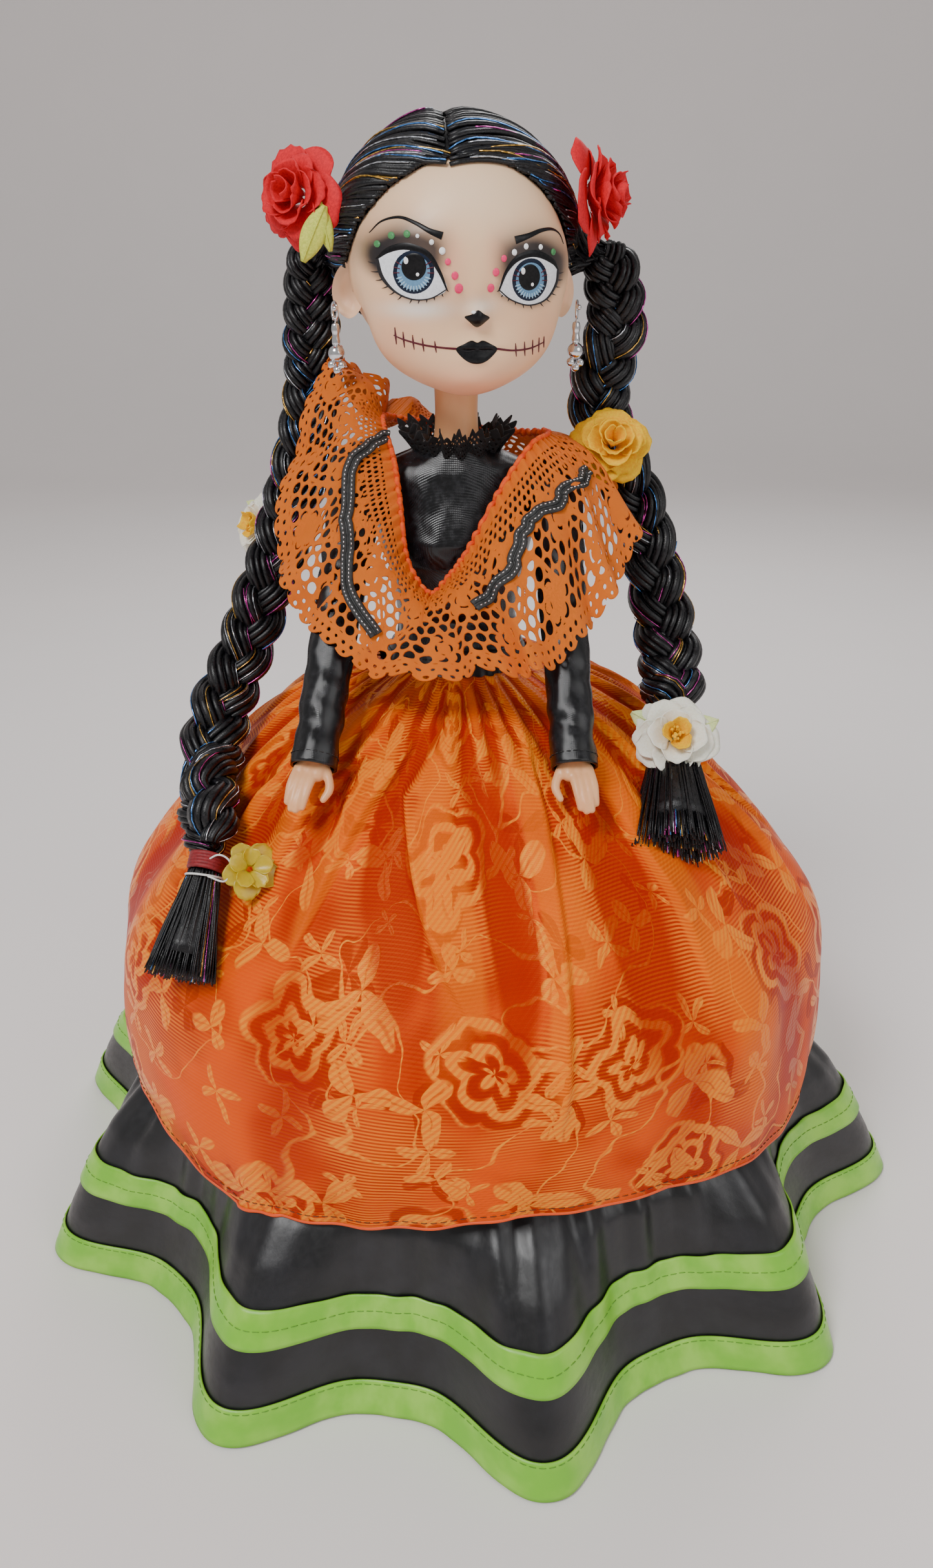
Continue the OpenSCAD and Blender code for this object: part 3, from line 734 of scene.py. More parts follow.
def ear(side):
    """A small dished ear with a rolled rim, standing off the head and facing half forward."""
    rows, cols = 26, 40
    t, a = np.meshgrid(np.linspace(0.02, 1.98, rows), 2 * np.pi * np.arange(cols) / cols, indexing="ij")
    r = np.sin(t * np.pi / 2)
    dish = np.where(t < 1, 0.9 * np.cos(t * np.pi) * -1, 0.9 - 3.6 * np.sin((t - 1) * np.pi / 2) ** 2)
    dish = dish + 0.5 * np.exp(-(((t - 0.45) / 0.12) ** 2)) * (np.cos(a) > -0.2)
    wide = 5.4 + 0.5 * np.cos(a)
    tall = np.where(np.sin(a) > 0, 7.6, 7.2 - 0.6 * np.abs(np.cos(a)))
    out = np.array([side * 0.80, 0.60, 0.0])
    face = np.array([side * 0.60, -0.80, 0.0])
    v = (
        np.array([side * 29.6, 0.5, 295.2])
        + (wide * r * np.cos(a))[..., None] * out + dish[..., None] * face
        + (tall * r * np.sin(a))[..., None] * np.array([-side * 0.06, 0, 1.0])
    )
    f = grid_faces(rows, cols, True)
    return v.reshape(-1, 3), f[:, ::-1] if side > 0 else f


def on_face(tree, points, lift):
    """Drops (x, z) points on the face from the front and raises them by lift."""
    out = []
    for x, z in np.asarray(points, float).reshape(-1, 2):
        hit, normal, _, _ = tree.ray_cast(Vector((x, -70, z)), Vector((0, 1, 0)), 100)
        if hit is None:
            hit, normal, _, _ = tree.find_nearest(Vector((x, -20, z)))
        if normal.y > 0:
            normal = -normal
        out.append(hit + normal * lift)
    return np.array([tuple(p) for p in out])


def fill(tree, soup, outline, lift, material, centre=None, rings=7):
    """A painted patch: the outline's points drawn in to its centre, ring by ring."""
    outline = np.asarray(outline, float)
    mid = outline.mean(0) if centre is None else np.array(centre)
    n = len(outline)
    t = np.linspace(0, 1, rings + 1)[1:]
    pts = (mid + (outline[None] - mid) * t[:, None, None]).reshape(-1, 2)
    v = on_face(tree, np.concatenate([pts, [mid]]), lift)
    v[(rings - 1) * n:rings * n] = on_face(tree, outline, lift * 0.25)
    j = np.arange(n)
    inner = np.stack([np.full(n, rings * n), j, (j + 1) % n], -1)
    soup.add(to_world(v), [grid_faces(rings, n, True), inner], material)


def stroke(tree, soup, points, widths, lift, material, n=24):
    """A painted line of changing width."""
    p = spline(points, n)
    w = np.interp(np.linspace(0, 1, n), np.linspace(0, 1, len(widths)), widths)
    d = unit(np.gradient(p, axis=0))
    side = np.stack([-d[:, 1], d[:, 0]], -1) * w[:, None] / 2
    grid = np.stack([p - side, p - side * 0.5, p, p + side * 0.5, p + side])
    v = on_face(tree, grid, lift)
    v[:n] = on_face(tree, grid[0], lift * 0.3)
    v[-n:] = on_face(tree, grid[-1], lift * 0.3)
    soup.add(to_world(v), grid_faces(5, n, False), material)


def oval(at, rx, rz, n=36):
    a = 2 * np.pi * np.arange(n) / n
    return np.stack([at[0] + rx * np.cos(a), at[1] + rz * np.sin(a)], -1)


PAINTS = {
    "white": (0.78, 0.80, 0.84), "navy": (0.006, 0.012, 0.03), "blue": (0.13, 0.27, 0.43),
    "pale": (0.34, 0.52, 0.66), "black": (0.003, 0.003, 0.004), "maroon": (0.10, 0.012, 0.022),
    "green": (0.07, 0.25, 0.09), "pink": (0.93, 0.05, 0.17), "grey": (0.02, 0.018, 0.02),
    "glint": (0.98, 0.98, 0.98),
}
WHITE, NAVY, BLUE, PALE, BLACK, MAROON, GREEN, PINK, GREY, GLINT = range(len(PAINTS))


def beside(mid, reach_x, reach_z, angle):
    return mid[0] + reach_x * math.cos(angle), mid[1] + reach_z * math.sin(angle)


def paint_iris(tree, s, iris, pupil):
    """An iris with pale rays below the pupil and maroon ones beside it, and two glints."""
    fill(tree, s, oval(iris, 5.25, 5.3), 0.22, NAVY)
    fill(tree, s, oval(iris, 4.5, 4.55), 0.28, BLUE)
    for a in np.radians(np.linspace(200, 340, 13)):
        far = beside(iris, 4.45, 4.5, a)
        near = beside(iris, 3.0, 3.2, a)
        mid = ((far[0] + near[0]) / 2, (far[1] + near[1]) / 2)
        stroke(tree, s, [near, mid, far], [0.35, 0.7, 0.25], 0.33, PALE, 6)
    for a in np.radians([150, 166, 182, -2, 14, 30]):
        stroke(tree, s, [beside(iris, 3.4, 3.4, a), beside(iris, 5.0, 5.0, a)], [0.45, 0.2], 0.35, MAROON, 5)
    fill(tree, s, oval(pupil, 3.35, 3.45), 0.38, BLACK)
    fill(tree, s, oval((pupil[0] - 1.9, pupil[1] + 1.5), 0.75, 1.05, 20), 0.46, GLINT, rings=3)
    fill(tree, s, oval((pupil[0] + 0.9, pupil[1] - 1.7), 0.55, 0.6, 16), 0.46, GLINT, rings=3)


def paint_eye(tree, s, side, outline, iris, pupil):
    """The white, the lid lines, the iris, and lashes along the lower lid."""
    ring = spline(outline, 72, closed=True)
    fill(tree, s, ring, 0.10, WHITE, iris)
    stroke(tree, s, outline[:6], [0.5, 1.4, 1.8, 1.5, 0.9, 0.4], 0.20, BLACK, 40)
    stroke(tree, s, outline[5:] + outline[:1], [0.3, 0.35, 0.35, 0.5, 0.9, 0.9], 0.16, GREY, 40)
    paint_iris(tree, s, iris, pupil)
    low = ring[36:]
    for t in np.linspace(0.02, 0.98, 12):
        at = low[int(t * 35)]
        tip = at + unit(at - np.array(iris)) * (0.9 + 0.9 * abs(t - 0.3)) + np.array([side * 0.5, 0])
        stroke(tree, s, [at, (at + tip) / 2 + [0, -0.1], tip], [0.4, 0.25, 0.06], 0.14, GREY, 6)


def paint_brows(tree, s):
    left = [(-25.6, 309.3), (-22.6, 311.9), (-18.4, 312.7), (-14.7, 311.3), (-11.5, 309.5), (-8.3, 308.3)]
    right = [(25.6, 306.8), (24.2, 309.2), (21.6, 310.2), (18.0, 309.8), (14.2, 308.5), (10.4, 307.4)]
    for brow in (left, right):
        stroke(tree, s, brow, [0.15, 0.45, 0.7, 0.95, 1.25, 1.9], 0.16, BLACK, 40)


def paint_dots(tree, s):
    for at, r, paint in [
        ((-24.0, 306.6), 0.75, GREEN), ((-20.6, 308.5), 0.8, GREEN), ((-16.9, 308.8), 0.8, GREEN),
        ((21.6, 304.8), 0.75, GREEN), ((-14.4, 308.3), 0.45, GLINT), ((-11.0, 306.9), 0.6, GLINT),
        ((-8.4, 304.9), 0.8, GLINT), ((10.2, 304.6), 0.7, GLINT), ((13.4, 306.0), 0.65, GLINT),
        ((17.6, 305.9), 0.6, GLINT), ((-7.0, 302.4), 0.75, PINK), ((-5.2, 299.2), 0.9, PINK),
        ((-4.1, 296.2), 1.1, PINK), ((7.4, 303.2), 0.75, PINK), ((5.4, 300.0), 0.9, PINK),
        ((4.2, 296.3), 0.95, PINK),
    ]:
        fill(tree, s, oval(at, r, r * 1.1, 20), 0.42, paint, rings=3)


def paint_nose(tree, s):
    tip = [(1.1, 286.8), (-1.3, 288.4), (-2.2, 289.4), (-0.6, 290.0), (1.0, 291.0), (2.6, 290.1),
           (4.4, 289.2), (3.4, 288.2)]
    fill(tree, s, spline(tip, 40, closed=True), 0.18, BLACK)
    fill(tree, s, oval((-0.1, 290.5), 0.6, 0.45, 16), 0.3, GLINT, rings=3)


def paint_mouth(tree, s):
    """Black lips, and a stitched line that runs on from them over both cheeks."""
    lips = [(-4.4, 281.5), (-2.2, 282.7), (-0.2, 283.5), (1.3, 283.0), (2.8, 283.5), (4.8, 282.7),
            (6.8, 281.4), (5.2, 279.4), (3.2, 278.1), (1.2, 277.7), (-0.9, 278.1), (-3.0, 279.5)]
    fill(tree, s, spline(lips, 60, closed=True), 0.22, BLACK, (1.2, 281))
    stroke(tree, s, [(-4.2, 281.4), (-1.5, 280.8), (1.2, 281.2), (3.8, 280.8), (6.6, 281.3)],
           [0.1, 0.3, 0.3, 0.3, 0.1], 0.34, GREY, 24)
    stroke(tree, s, [(-4.3, 281.5), (-8.1, 281.8), (-13.0, 282.5), (-17.7, 283.7), (-20.4, 284.8)],
           [0.6, 0.5, 0.5, 0.45, 0.25], 0.16, MAROON, 40)
    stroke(tree, s, [(6.7, 281.4), (11.3, 280.9), (16.3, 281.3), (20.8, 282.7)],
           [0.6, 0.5, 0.5, 0.3], 0.16, MAROON, 40)
    for x, z, tall in [(-19.9, 284.6, 2.9), (-17.9, 283.7, 2.7), (-15.5, 283.1, 2.5), (-13.0, 282.5, 2.3),
                       (-9.8, 282.0, 2.0), (12.0, 281.0, 2.3), (14.6, 281.2, 2.5), (17.0, 281.5, 2.6),
                       (19.0, 282.0, 2.6), (20.6, 282.7, 2.0)]:
        stitch = [(x - 0.2, z + tall * 0.75), (x, z), (x + 0.25, z - tall * 0.72)]
        stroke(tree, s, stitch, [0.2, 0.52, 0.2], 0.2, MAROON, 10)


def make_face(tree):
    s = Soup()
    for side, (outline, iris, pupil) in zip((-1, 1), EYES):
        paint_eye(tree, s, side, outline, iris, pupil)
    paint_brows(tree, s)
    paint_dots(tree, s)
    paint_nose(tree, s)
    paint_mouth(tree, s)
    mats = [paint_material("paint_" + name, color) for name, color in PAINTS.items()]
    s.build("face_paint", mats, "head")


HEAD_TREE = make_head()
make_face(HEAD_TREE)


# ---------------------------------------------------------------- hair on the head
HAIRLINE = [(0, 47), (12, 47.5), (25, 45), (45, 36.5), (65, 21), (76, 11), (86, 5), (97, -4), (115, -20),
            (150, -33), (180, -36)]
HAIR_MID, HAIR_R = np.array([0, 3, 304.5]), 35.0      # the round outline of the combed hair
RIGHT_BRAID = [(-46, 20, 306), (-47, 20, 294), (-48, 18, 282), (-48, 17, 270), (-50, 16, 255), (-55, 16, 238),
              (-60, 13, 222), (-66, 6, 206), (-72, -2, 190), (-78, -14, 175), (-80, -30, 163),
              (-77.5, -46, 156), (-74.5, -60, 149)]
LEFT_BRAID = [(40, 20, 306), (43, 19, 295), (44, 18, 284), (40, 17, 270), (41, 16, 257), (50, 14, 240),
               (56, 12, 224), (60, 6, 207), (63, -3, 192), (63.5, -13, 181), (62, -23, 175)]


def hairline(az):
    """Elevation of the hairline, both in degrees; az is measured from the front."""
    a, e = zip(*HAIRLINE)
    return np.interp(np.abs(az), a, e)


def parting(y):
    """How far beside the middle the parting runs, on the unit sphere, from front to back."""
    return -0.085 + 0.1 * y


def scalp(d, az_deg, el_deg, lift):
    """Points of the combed hair over the head, thin at the hairline and at the parting."""
    edge = np.sin(np.clip((el_deg - hairline(az_deg)) / 15, 0, 1) * np.pi / 2)
    part = np.clip(np.abs(d[..., 0] - parting(d[..., 1])) / 0.14, 0, 1)
    skull = head_radius(d)
    off = HAIR_MID - HEAD_MID
    along = d @ off
    round_ = along + np.sqrt(HAIR_R**2 - (off @ off - along**2))
    full = np.maximum(round_ - skull - 0.6, 2.6) * (0.72 + 0.28 * np.sin(part * np.pi / 2))
    return HEAD_MID + d * (skull + 0.7 + full * edge + lift)[..., None]


def angles(d):
    az = np.degrees(np.arctan2(d[..., 0], -d[..., 1]))
    el = np.degrees(np.arcsin(np.clip(d[..., 2], -1, 1)))
    return az, el


def toward(d0, d1, n):
    """Great-circle directions from d0 to d1: shape (strands, n, 3)."""
    w = np.arccos(np.clip(np.sum(d0 * d1, -1), -1, 1))[:, None, None]
    t = np.linspace(0, 1, n)[None, :, None]
    return (np.sin((1 - t) * w) * d0[:, None] + np.sin(t * w) * d1[:, None]) / np.sin(w)


def head_direction(az, el, side=1):
    """Unit directions from azimuth and elevation in radians; side -1 mirrors them."""
    return np.stack([side * np.cos(el) * np.sin(az), -np.cos(el) * np.cos(az), np.sin(el)], -1)


def under_cap():
    """A smooth cap that closes the gaps between the strands."""
    rows, cols = 60, 120
    az = np.linspace(-180, 180, cols, endpoint=False)
    t = np.linspace(0, 1, rows)[:, None]
    el = np.minimum(hairline(az)[None] * (1 - t) + 90 * t, 89.5)
    az = az[None] + 0 * t
    d = head_direction(np.radians(az), np.radians(el))
    return to_world(scalp(d, az, el, -0.5)), grid_faces(rows, cols, True)[:, ::-1]


def strand_starts(side):
    """Where one side's strands begin: along the parting, and along the hairline round the ear."""
    phi = np.radians(np.linspace(44, 214, 78) + RNG.uniform(-0.8, 0.8, 78))
    starts = [np.stack([side * 0.012 + parting(-np.cos(phi)), -np.cos(phi), np.sin(phi)], -1)]
    for lo, hi, count in ((2 - 9 * side, 88, 62), (98, 176, 34)):
        az = np.linspace(lo, hi, count) + RNG.uniform(-0.5, 0.5, count)
        el = np.radians(hairline(az) + RNG.uniform(-0.6, 0.6, count))
        starts.append(head_direction(np.radians(az), el, side))
    return unit(np.concatenate(starts))


def comb(soup, side, root):
    """One side's strands, drawn to the root of its braid, with tinsel on some of them."""
    n = 26
    d0 = strand_starts(side)
    m = len(d0)
    d = toward(d0, unit(unit(root - HEAD_MID) + RNG.normal(0, 0.05, (m, 3))), n)
    az, el = angles(d)
    ripple = 0.35 * np.sin(np.linspace(0, 9, n)[None] + RNG.uniform(0, 6.3, (m, 1)))
    lift = ripple * 0.3 + RNG.uniform(-0.2, 0.35, (m, 1))
    p = scalp(d, az, el, lift)
    t = np.linspace(0, 1, n)[None, :, None]
    pull = np.clip((t - 0.72) / 0.28, 0, 1) ** 1.5
    jitter = RNG.normal(0, 1.6, (m, 1, 3))
    p = p * (1 - pull) + (root + jitter + np.array([0, 0, -2])) * pull
    thick = 1.15 * np.sin(np.linspace(0.12, 0.94, n) * np.pi) ** 0.45 * RNG.uniform(0.8, 1.15, (m, 1))
    soup.add(*tubes(to_world(p), thick, 6, to_world(d) - to_world(np.zeros(3)), 0.6))
    pick = RNG.choice(m, 46, replace=False)
    wave = 0.25 * np.sin(np.linspace(0, 14, n))[None, :, None]
    for k in range(len(TINSEL)):
        chosen = pick[k::4]
        q = scalp(d[chosen], az[chosen], el[chosen], lift[chosen] + 0.75)
        q = q * (1 - pull) + (root + jitter[chosen] * 1.4) * pull
        q = q + wave * RNG.normal(0, 1, (len(chosen), 1, 3))
        cut = slice(RNG.integers(0, 4), n - 3)
        soup.add(*tubes(to_world(q[:, cut]), 0.21, 4), material=k + 1)


def make_hair():
    soup = Soup()
    soup.add(*under_cap())
    comb(soup, -1, to_head(RIGHT_BRAID[0]))
    comb(soup, 1, to_head(LEFT_BRAID[0]))
    ob = soup.build("hair_combed", [HAIR] + TINSEL, "head")
    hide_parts("hair_cap")


BRAID_WIDTH = 16.5


def braid(name, route, nodes, seed):
    """A three-strand braid: each strand weaves side to side and in and out, and is a bundle of locks."""
    rng = np.random.default_rng(seed)
    length = np.sum(np.linalg.norm(np.diff(np.array(route, float), axis=0), axis=1))
    n = int(length / 0.9)
    mid = spline(route, n)
    t = unit(np.gradient(mid, axis=0))
    across = unit(np.cross(t, [0.0, 1.0, 0.35]))
    deep = np.cross(across, t)
    s = np.linspace(0, length, n)
    pitch = 31.0
    at = [0, 6, 0.5 * length, 0.75 * length, length - 9, length]
    taper = np.interp(s, at, [0.72, 1, 1, 1.16, 1.14, 0.62])
    taper = taper * BRAID_WIDTH / 16
    taper = taper * (1 + 0.05 * np.sin(s / 17 + seed))
    soup = Soup()
    locks, sides = 11, 6
    for k in range(3):
        ph = 2 * np.pi * (s / pitch + k / 3)
        core = mid + (4.5 * taper * np.sin(ph))[:, None] * across
        core = core + (2.7 * taper * np.sin(2 * ph))[:, None] * deep
        ct = unit(np.gradient(core, axis=0))
        ca = unit(np.cross(ct, deep))
        cd = np.cross(ca, ct)
        soup.add(*tubes(core[None], 3.3 * taper, 10, deep[None], 0.8))
        for j in range(locks):
            a = 2 * np.pi * j / locks + 0.035 * s + rng.uniform(-0.15, 0.15)
            w, h = 3.35 * taper, 2.75 * taper
            path = core + (w * np.cos(a))[:, None] * ca + (h * np.sin(a))[:, None] * cd
            fat = 1.05 * taper * (1 + 0.15 * np.sin(s / 5 + rng.uniform(0, 6)))
            soup.add(*tubes(path[None], fat, sides, deep[None]))
        for j in range(22):
            a = rng.uniform(0, 2 * np.pi) + 0.035 * s + 0.35 * np.sin(s / 7 + rng.uniform(0, 6))
            out = 1.0 * taper + 0.10
            path = (core + ((3.35 * taper + out) * np.cos(a))[:, None] * ca
                    + ((2.75 * taper + out) * np.sin(a))[:, None] * cd)
            lo = rng.integers(0, 5 * n // 6)
            hi = lo + rng.integers(n // 7, n // 3)
            soup.add(*tubes(path[lo:hi][None], 0.19, 4), material=1 + (j + k) % 4)
    ob = soup.build(name, [HAIR] + TINSEL, None)
    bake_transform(ob)
    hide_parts(*nodes)


def tassel(name, start, aim, length, r0, r1, count, node, seed):
    """The loose end of a braid: straight hairs that spread a little, cut level."""
    rng = np.random.default_rng(seed)
    aim = unit(aim)
    side = unit(np.cross(aim, [0, 0, 1]))
    up = np.cross(side, aim)
    soup = Soup()
    n = 9
    t = np.linspace(0, 1, n)
    a = rng.uniform(0, 2 * np.pi, count)
    q = np.sqrt(rng.uniform(0, 1, count))
    reach = length * rng.uniform(0.93, 1.0, count)
    sag = rng.uniform(-1.2, 0.4, count)
    r = (r0 + (r1 - r0) * t[None] ** 0.9) * q[:, None]
    wave = 0.35 * np.sin(4 * t[None] + rng.uniform(0, 6, (count, 1)))
    p = (
        np.array(start)
        + (reach[:, None] * t[None])[..., None] * aim
        + ((r + wave) * np.cos(a)[:, None])[..., None] * side
        + ((r * 0.8 + wave) * np.sin(a)[:, None] + sag[:, None] * t[None] ** 2)[..., None] * up
    )
    black = np.arange(count) % 9 != 0
    soup.add(*tubes(p[black], 0.46 * (1.1 - 0.65 * t), 5))
    for k in range(4):
        chosen = np.flatnonzero(~black)[k::4]
        soup.add(*tubes(p[chosen], 0.18, 4), material=k + 1)
    body = tubes((np.array(start) + (length * 0.8 * t)[:, None] * aim)[None], (r0 + (r1 - r0) * t) * 0.72, 14)
    soup.add(*body)
    ob = soup.build(name, [HAIR] + TINSEL, "figure")
    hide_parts(node)


def make_ties():
    end = np.array(RIGHT_BRAID[-1], float)
    aim = unit((-4, -20, -20))
    s = Soup()
    a = np.linspace(0, 2 * np.pi, 40, endpoint=False)
    side = unit(np.cross(aim, [0, 0, 1]))
    up = np.cross(side, aim)
    turns = np.linspace(0, 5 * 2 * np.pi, 200)
    path = (
        end + (2.6 + 4.6 * turns / turns[-1])[:, None] * aim
        + (4.9 * np.cos(turns))[:, None] * side + (4.9 * np.sin(turns))[:, None] * up
    )
    s.add(*tubes(path[None], 0.75, 8, aim))
    band = s.build("band_wound", [BAND], "figure")
    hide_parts("hair_band")
    s = Soup()
    loop = (
        end + (8.6 + 0.8 * np.sin(a))[:, None] * aim
        + (5.3 * np.cos(a))[:, None] * side + (5.3 * np.sin(a))[:, None] * up
    )
    s.add(*tubes(np.concatenate([loop, loop[:2]])[None], 0.33, 6, aim))
    start = end + 7 * aim + 5.0 * up
    free = spline(start + np.array([(0, 0, 0), (5, 2, 2.5), (9, -1, 1.5), (8, -5, -2), (3, -4, -1)]), 30)
    s.add(*tubes(free[None], 0.28, 6))
    elastic = s.build("elastic_loose", [ELASTIC], "figure")
    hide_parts("elastic_loop")


make_hair()
braid("braid_right", RIGHT_BRAID, ["braid_upper_right", "braid_lower_right"],
      3)
braid("braid_left", LEFT_BRAID, ["braid_upper_left", "braid_lower_left"],
      5)
tassel("tassel_hair_right", (-75.2, -63, 146), (-5, -20, -21), 34, 3.6, 10.0, 560, "tassel_right", 11)
tassel("tassel_hair_left", (61.8, -26, 173.5), (-2.5, -37, -23), 45, 4.0, 13.5, 700, "tassel_left", 12)
make_ties()


# ---------------------------------------------------------------- cloth helpers
def grid_normals(p, closed):
    down = np.gradient(p, axis=0)
    round_ = np.roll(p, -1, 1) - np.roll(p, 1, 1) if closed else np.gradient(p, axis=1)
    return unit(np.cross(down, round_))


def slab(p, thick, closed=True, uv=None):
    """A grid of points made into closed cloth of the given thickness. uv is (per column, per row)."""
    rows, cols = p.shape[:2]
    n = grid_normals(p, closed) * thick / 2
    verts = np.concatenate([(p + n).reshape(-1, 3), (p - n).reshape(-1, 3)])
    span = cols if closed else cols - 1
    k, j = (x.ravel() for x in np.meshgrid(np.arange(rows - 1), np.arange(span), indexing="ij"))
    o, e, r = 0 * j, np.arange(span), np.arange(rows - 1)
    z = 0 * e
    end = z + rows - 1
    quads = [
        [(o, k, j), (o, k + 1, j), (o, k + 1, j + 1), (o, k, j + 1)],
        [(o + 1, k, j), (o + 1, k, j + 1), (o + 1, k + 1, j + 1), (o + 1, k + 1, j)],
        [(z, z, e), (z, z, e + 1), (z + 1, z, e + 1), (z + 1, z, e)],
        [(z, end, e), (z + 1, end, e), (z + 1, end, e + 1), (z, end, e + 1)],
    ]
    if not closed:
        z = 0 * r
        end = z + cols - 1
        quads += [
            [(z, r, z), (z + 1, r, z), (z + 1, r + 1, z), (z, r + 1, z)],
            [(z, r, end), (z, r + 1, end), (z + 1, r + 1, end), (z + 1, r, end)],
        ]
    side, row, col = (np.concatenate([np.stack([c[i] for c in q], -1) for q in quads]) for i in range(3))
    faces = side * rows * cols + row * cols + col % cols
    if uv is None:
        return verts, faces, None
    return verts, faces, np.stack([np.asarray(uv[0])[col], np.asarray(uv[1])[row]], -1).reshape(-1, 2)


def openwork(p, normals, field, uv, thick, closed=True):
    """Cloth with holes: the grid's surface is kept where field is above 0, cut along its zero line."""
    rows, cols = field.shape
    if closed:
        p, normals, field = (np.concatenate([x, x[:, :1]], 1) for x in (p, normals, field))
        cols += 1
    uu, vv = np.meshgrid(uv[0][:cols], uv[1])
    pos, nor, val = p.reshape(-1, 3), normals.reshape(-1, 3), field.ravel()
    tex = np.stack([uu.ravel(), vv.ravel()], -1)
    q = grid_faces(rows, cols, False)
    tri = np.concatenate([q[:, [0, 1, 2]], q[:, [0, 2, 3]]])
    inside = val[tri] > 0
    count = inside.sum(1)
    whole = tri[count == 3]

    def cut(a, b):
        return np.stack([np.minimum(a, b), np.maximum(a, b)], -1)

    cut_edges = []
    for want in (1, 2):
        t = tri[count == want]
        odd = (inside[count == want] if want == 1 else ~inside[count == want]).argmax(1)
        a, b, c = (t[np.arange(len(t)), (odd + s) % 3] for s in range(3))
        ab, ca = cut(a, b), cut(a, c)
        cut_edges.append((want, a, b, c, ab, ca))
    every = np.concatenate([x for _, _, _, _, ab, ca in cut_edges for x in (ab, ca)])
    keys, index = np.unique(every, axis=0, return_inverse=True)
    index = index.ravel() + len(pos)
    f = (val[keys[:, 0]] / (val[keys[:, 0]] - val[keys[:, 1]]))[:, None]
    blend = [x[keys[:, 0]] * (1 - f) + x[keys[:, 1]] * f for x in (pos, nor, tex)]
    pos, nor, tex = (np.concatenate([x, y]) for x, y in zip((pos, nor, tex), blend))
    at = 0
    out_tri = [whole]
    for want, a, b, c, ab, ca in cut_edges:
        i_ab = index[at:at + len(ab)]
        i_ca = index[at + len(ab):at + 2 * len(ab)]
        at += 2 * len(ab)
        if want == 1:
            out_tri.append(np.stack([a, i_ab, i_ca], -1))
        else:
            out_tri += [np.stack([i_ab, b, c], -1), np.stack([i_ab, c, i_ca], -1)]
    tri = np.concatenate(out_tri)
    used, tri = np.unique(tri, return_inverse=True)
    tri = tri.reshape(-1, 3)
    pos, nor, tex = pos[used], unit(nor[used]) * thick / 2, tex[used]
    m = len(pos)
    half = np.concatenate([tri[:, [0, 1]], tri[:, [1, 2]], tri[:, [2, 0]]])
    key = half.min(1) * m + half.max(1)
    _, first, n_used = np.unique(key, return_index=True, return_counts=True)
    rim = half[first[n_used == 1]]
    rim_quads = np.stack([rim[:, 0], rim[:, 0] + m, rim[:, 1] + m, rim[:, 1]], -1)
    verts = np.concatenate([pos + nor, pos - nor])
    both = np.concatenate([tri, tri[:, ::-1] + m])
    tex = np.concatenate([tex, tex])
    return verts, both, rim_quads, tex


def add_openwork(soup, made, material=0):
    verts, tris, rims, tex = made
    base = soup.count
    soup.add(verts, tris, material, tex[tris].reshape(-1, 2))
    soup.faces.append((rims + base, material, tex[rims].reshape(-1, 2)))


def around(rows, cols):
    """Angles in degrees for a closed grid, one row of them per row of the grid."""
    return np.broadcast_to(np.linspace(-180, 180, cols, endpoint=False), (rows, cols))


def stitches(path, normals, stitch, gap, r, lift):
    """Short threads along a closed path, lying on the cloth."""
    p = np.concatenate([path, path[:1]])
    q = np.concatenate([normals, normals[:1]])
    s = np.concatenate([[0], np.cumsum(np.linalg.norm(np.diff(p, axis=0), axis=1))])
    starts = np.arange(0, s[-1] - stitch, stitch + gap)
    t = starts[:, None] + stitch * np.linspace(0, 1, 4)[None]
    rise = lift * np.array([0.1, 1, 1, 0.1])
    pts = np.stack([np.interp(t, s, p[:, i]) + np.interp(t, s, q[:, i]) * rise for i in range(3)], -1)
    return tubes(pts, r, 4)


# ---------------------------------------------------------------- the skirts
FOLDS, FOLD_PHASE = 10, -82      # the hem's folds and where the first one points
RUFFLE_Z = [0, 16, 30, 44, 53, 60, 66]
RUFFLE_R = [139, 133, 127, 121, 116, 109, 106]
RUFFLE_FOLD = [13, 12.4, 11, 7.8, 4, 2, 1]


def lean(z):
    return FIGURE_X * np.clip((z - 110) / 70, 0, 1)


def waves(a, count, seed, sharp=1.0):
    """Uneven folds round the body: about -1 to 1, with rounder or sharper ridges."""
    rng = np.random.default_rng(seed)
    ph = rng.uniform(0, 2 * np.pi, 4)
    x = np.radians(a)
    s = np.sin(count * x + ph[0] + 0.9 * np.sin(3 * x + ph[1]) + 0.6 * np.sin(5 * x + ph[2]))
    size = 0.75 + 0.35 * np.sin(4 * x + ph[3])
    return np.sign(s) * np.abs(s) ** sharp * size


def ruffle_radius(a, z):
    fold = np.cos(np.radians(FOLDS * (a - FOLD_PHASE)))
    crisp = 0.94 * fold + 0.20 * np.cos(np.radians(2 * FOLDS * (a - FOLD_PHASE)))
    gather = np.clip((z - 14) / 42, 0, 1) ** 1.2
    r = np.interp(z, RUFFLE_Z, RUFFLE_R) + np.interp(z, RUFFLE_Z, RUFFLE_FOLD) * crisp
    r = r + gather * (1.0 * waves(a, 47, 1) + 0.55 * waves(a, 83, 2))
    return r + 0.8 * waves(a, 17, 3) * np.clip(1 - abs(z - 30) / 40, 0, 1)


def ring_points(a, z, r):
    x = np.radians(a)
    return np.stack([lean(z) + r * np.cos(x), r * np.sin(x), z], -1)


def make_ruffle():
    rows, cols = 46, 1080
    z = np.linspace(65, 0.6, rows)[:, None] + 0 * around(rows, cols)
    a = around(rows, cols)
    soup = Soup()
    uv = (np.linspace(0, 1000, cols + 1), np.linspace(0, 74, rows))
    v, f, corners = slab(ring_points(a, z, ruffle_radius(a, z)), 0.6, True, uv)
    soup.add(v, f, 0, corners)
    ob = soup.build("ruffle_satin", [SATIN], "figure")
    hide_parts("black_ruffle")
    return ob


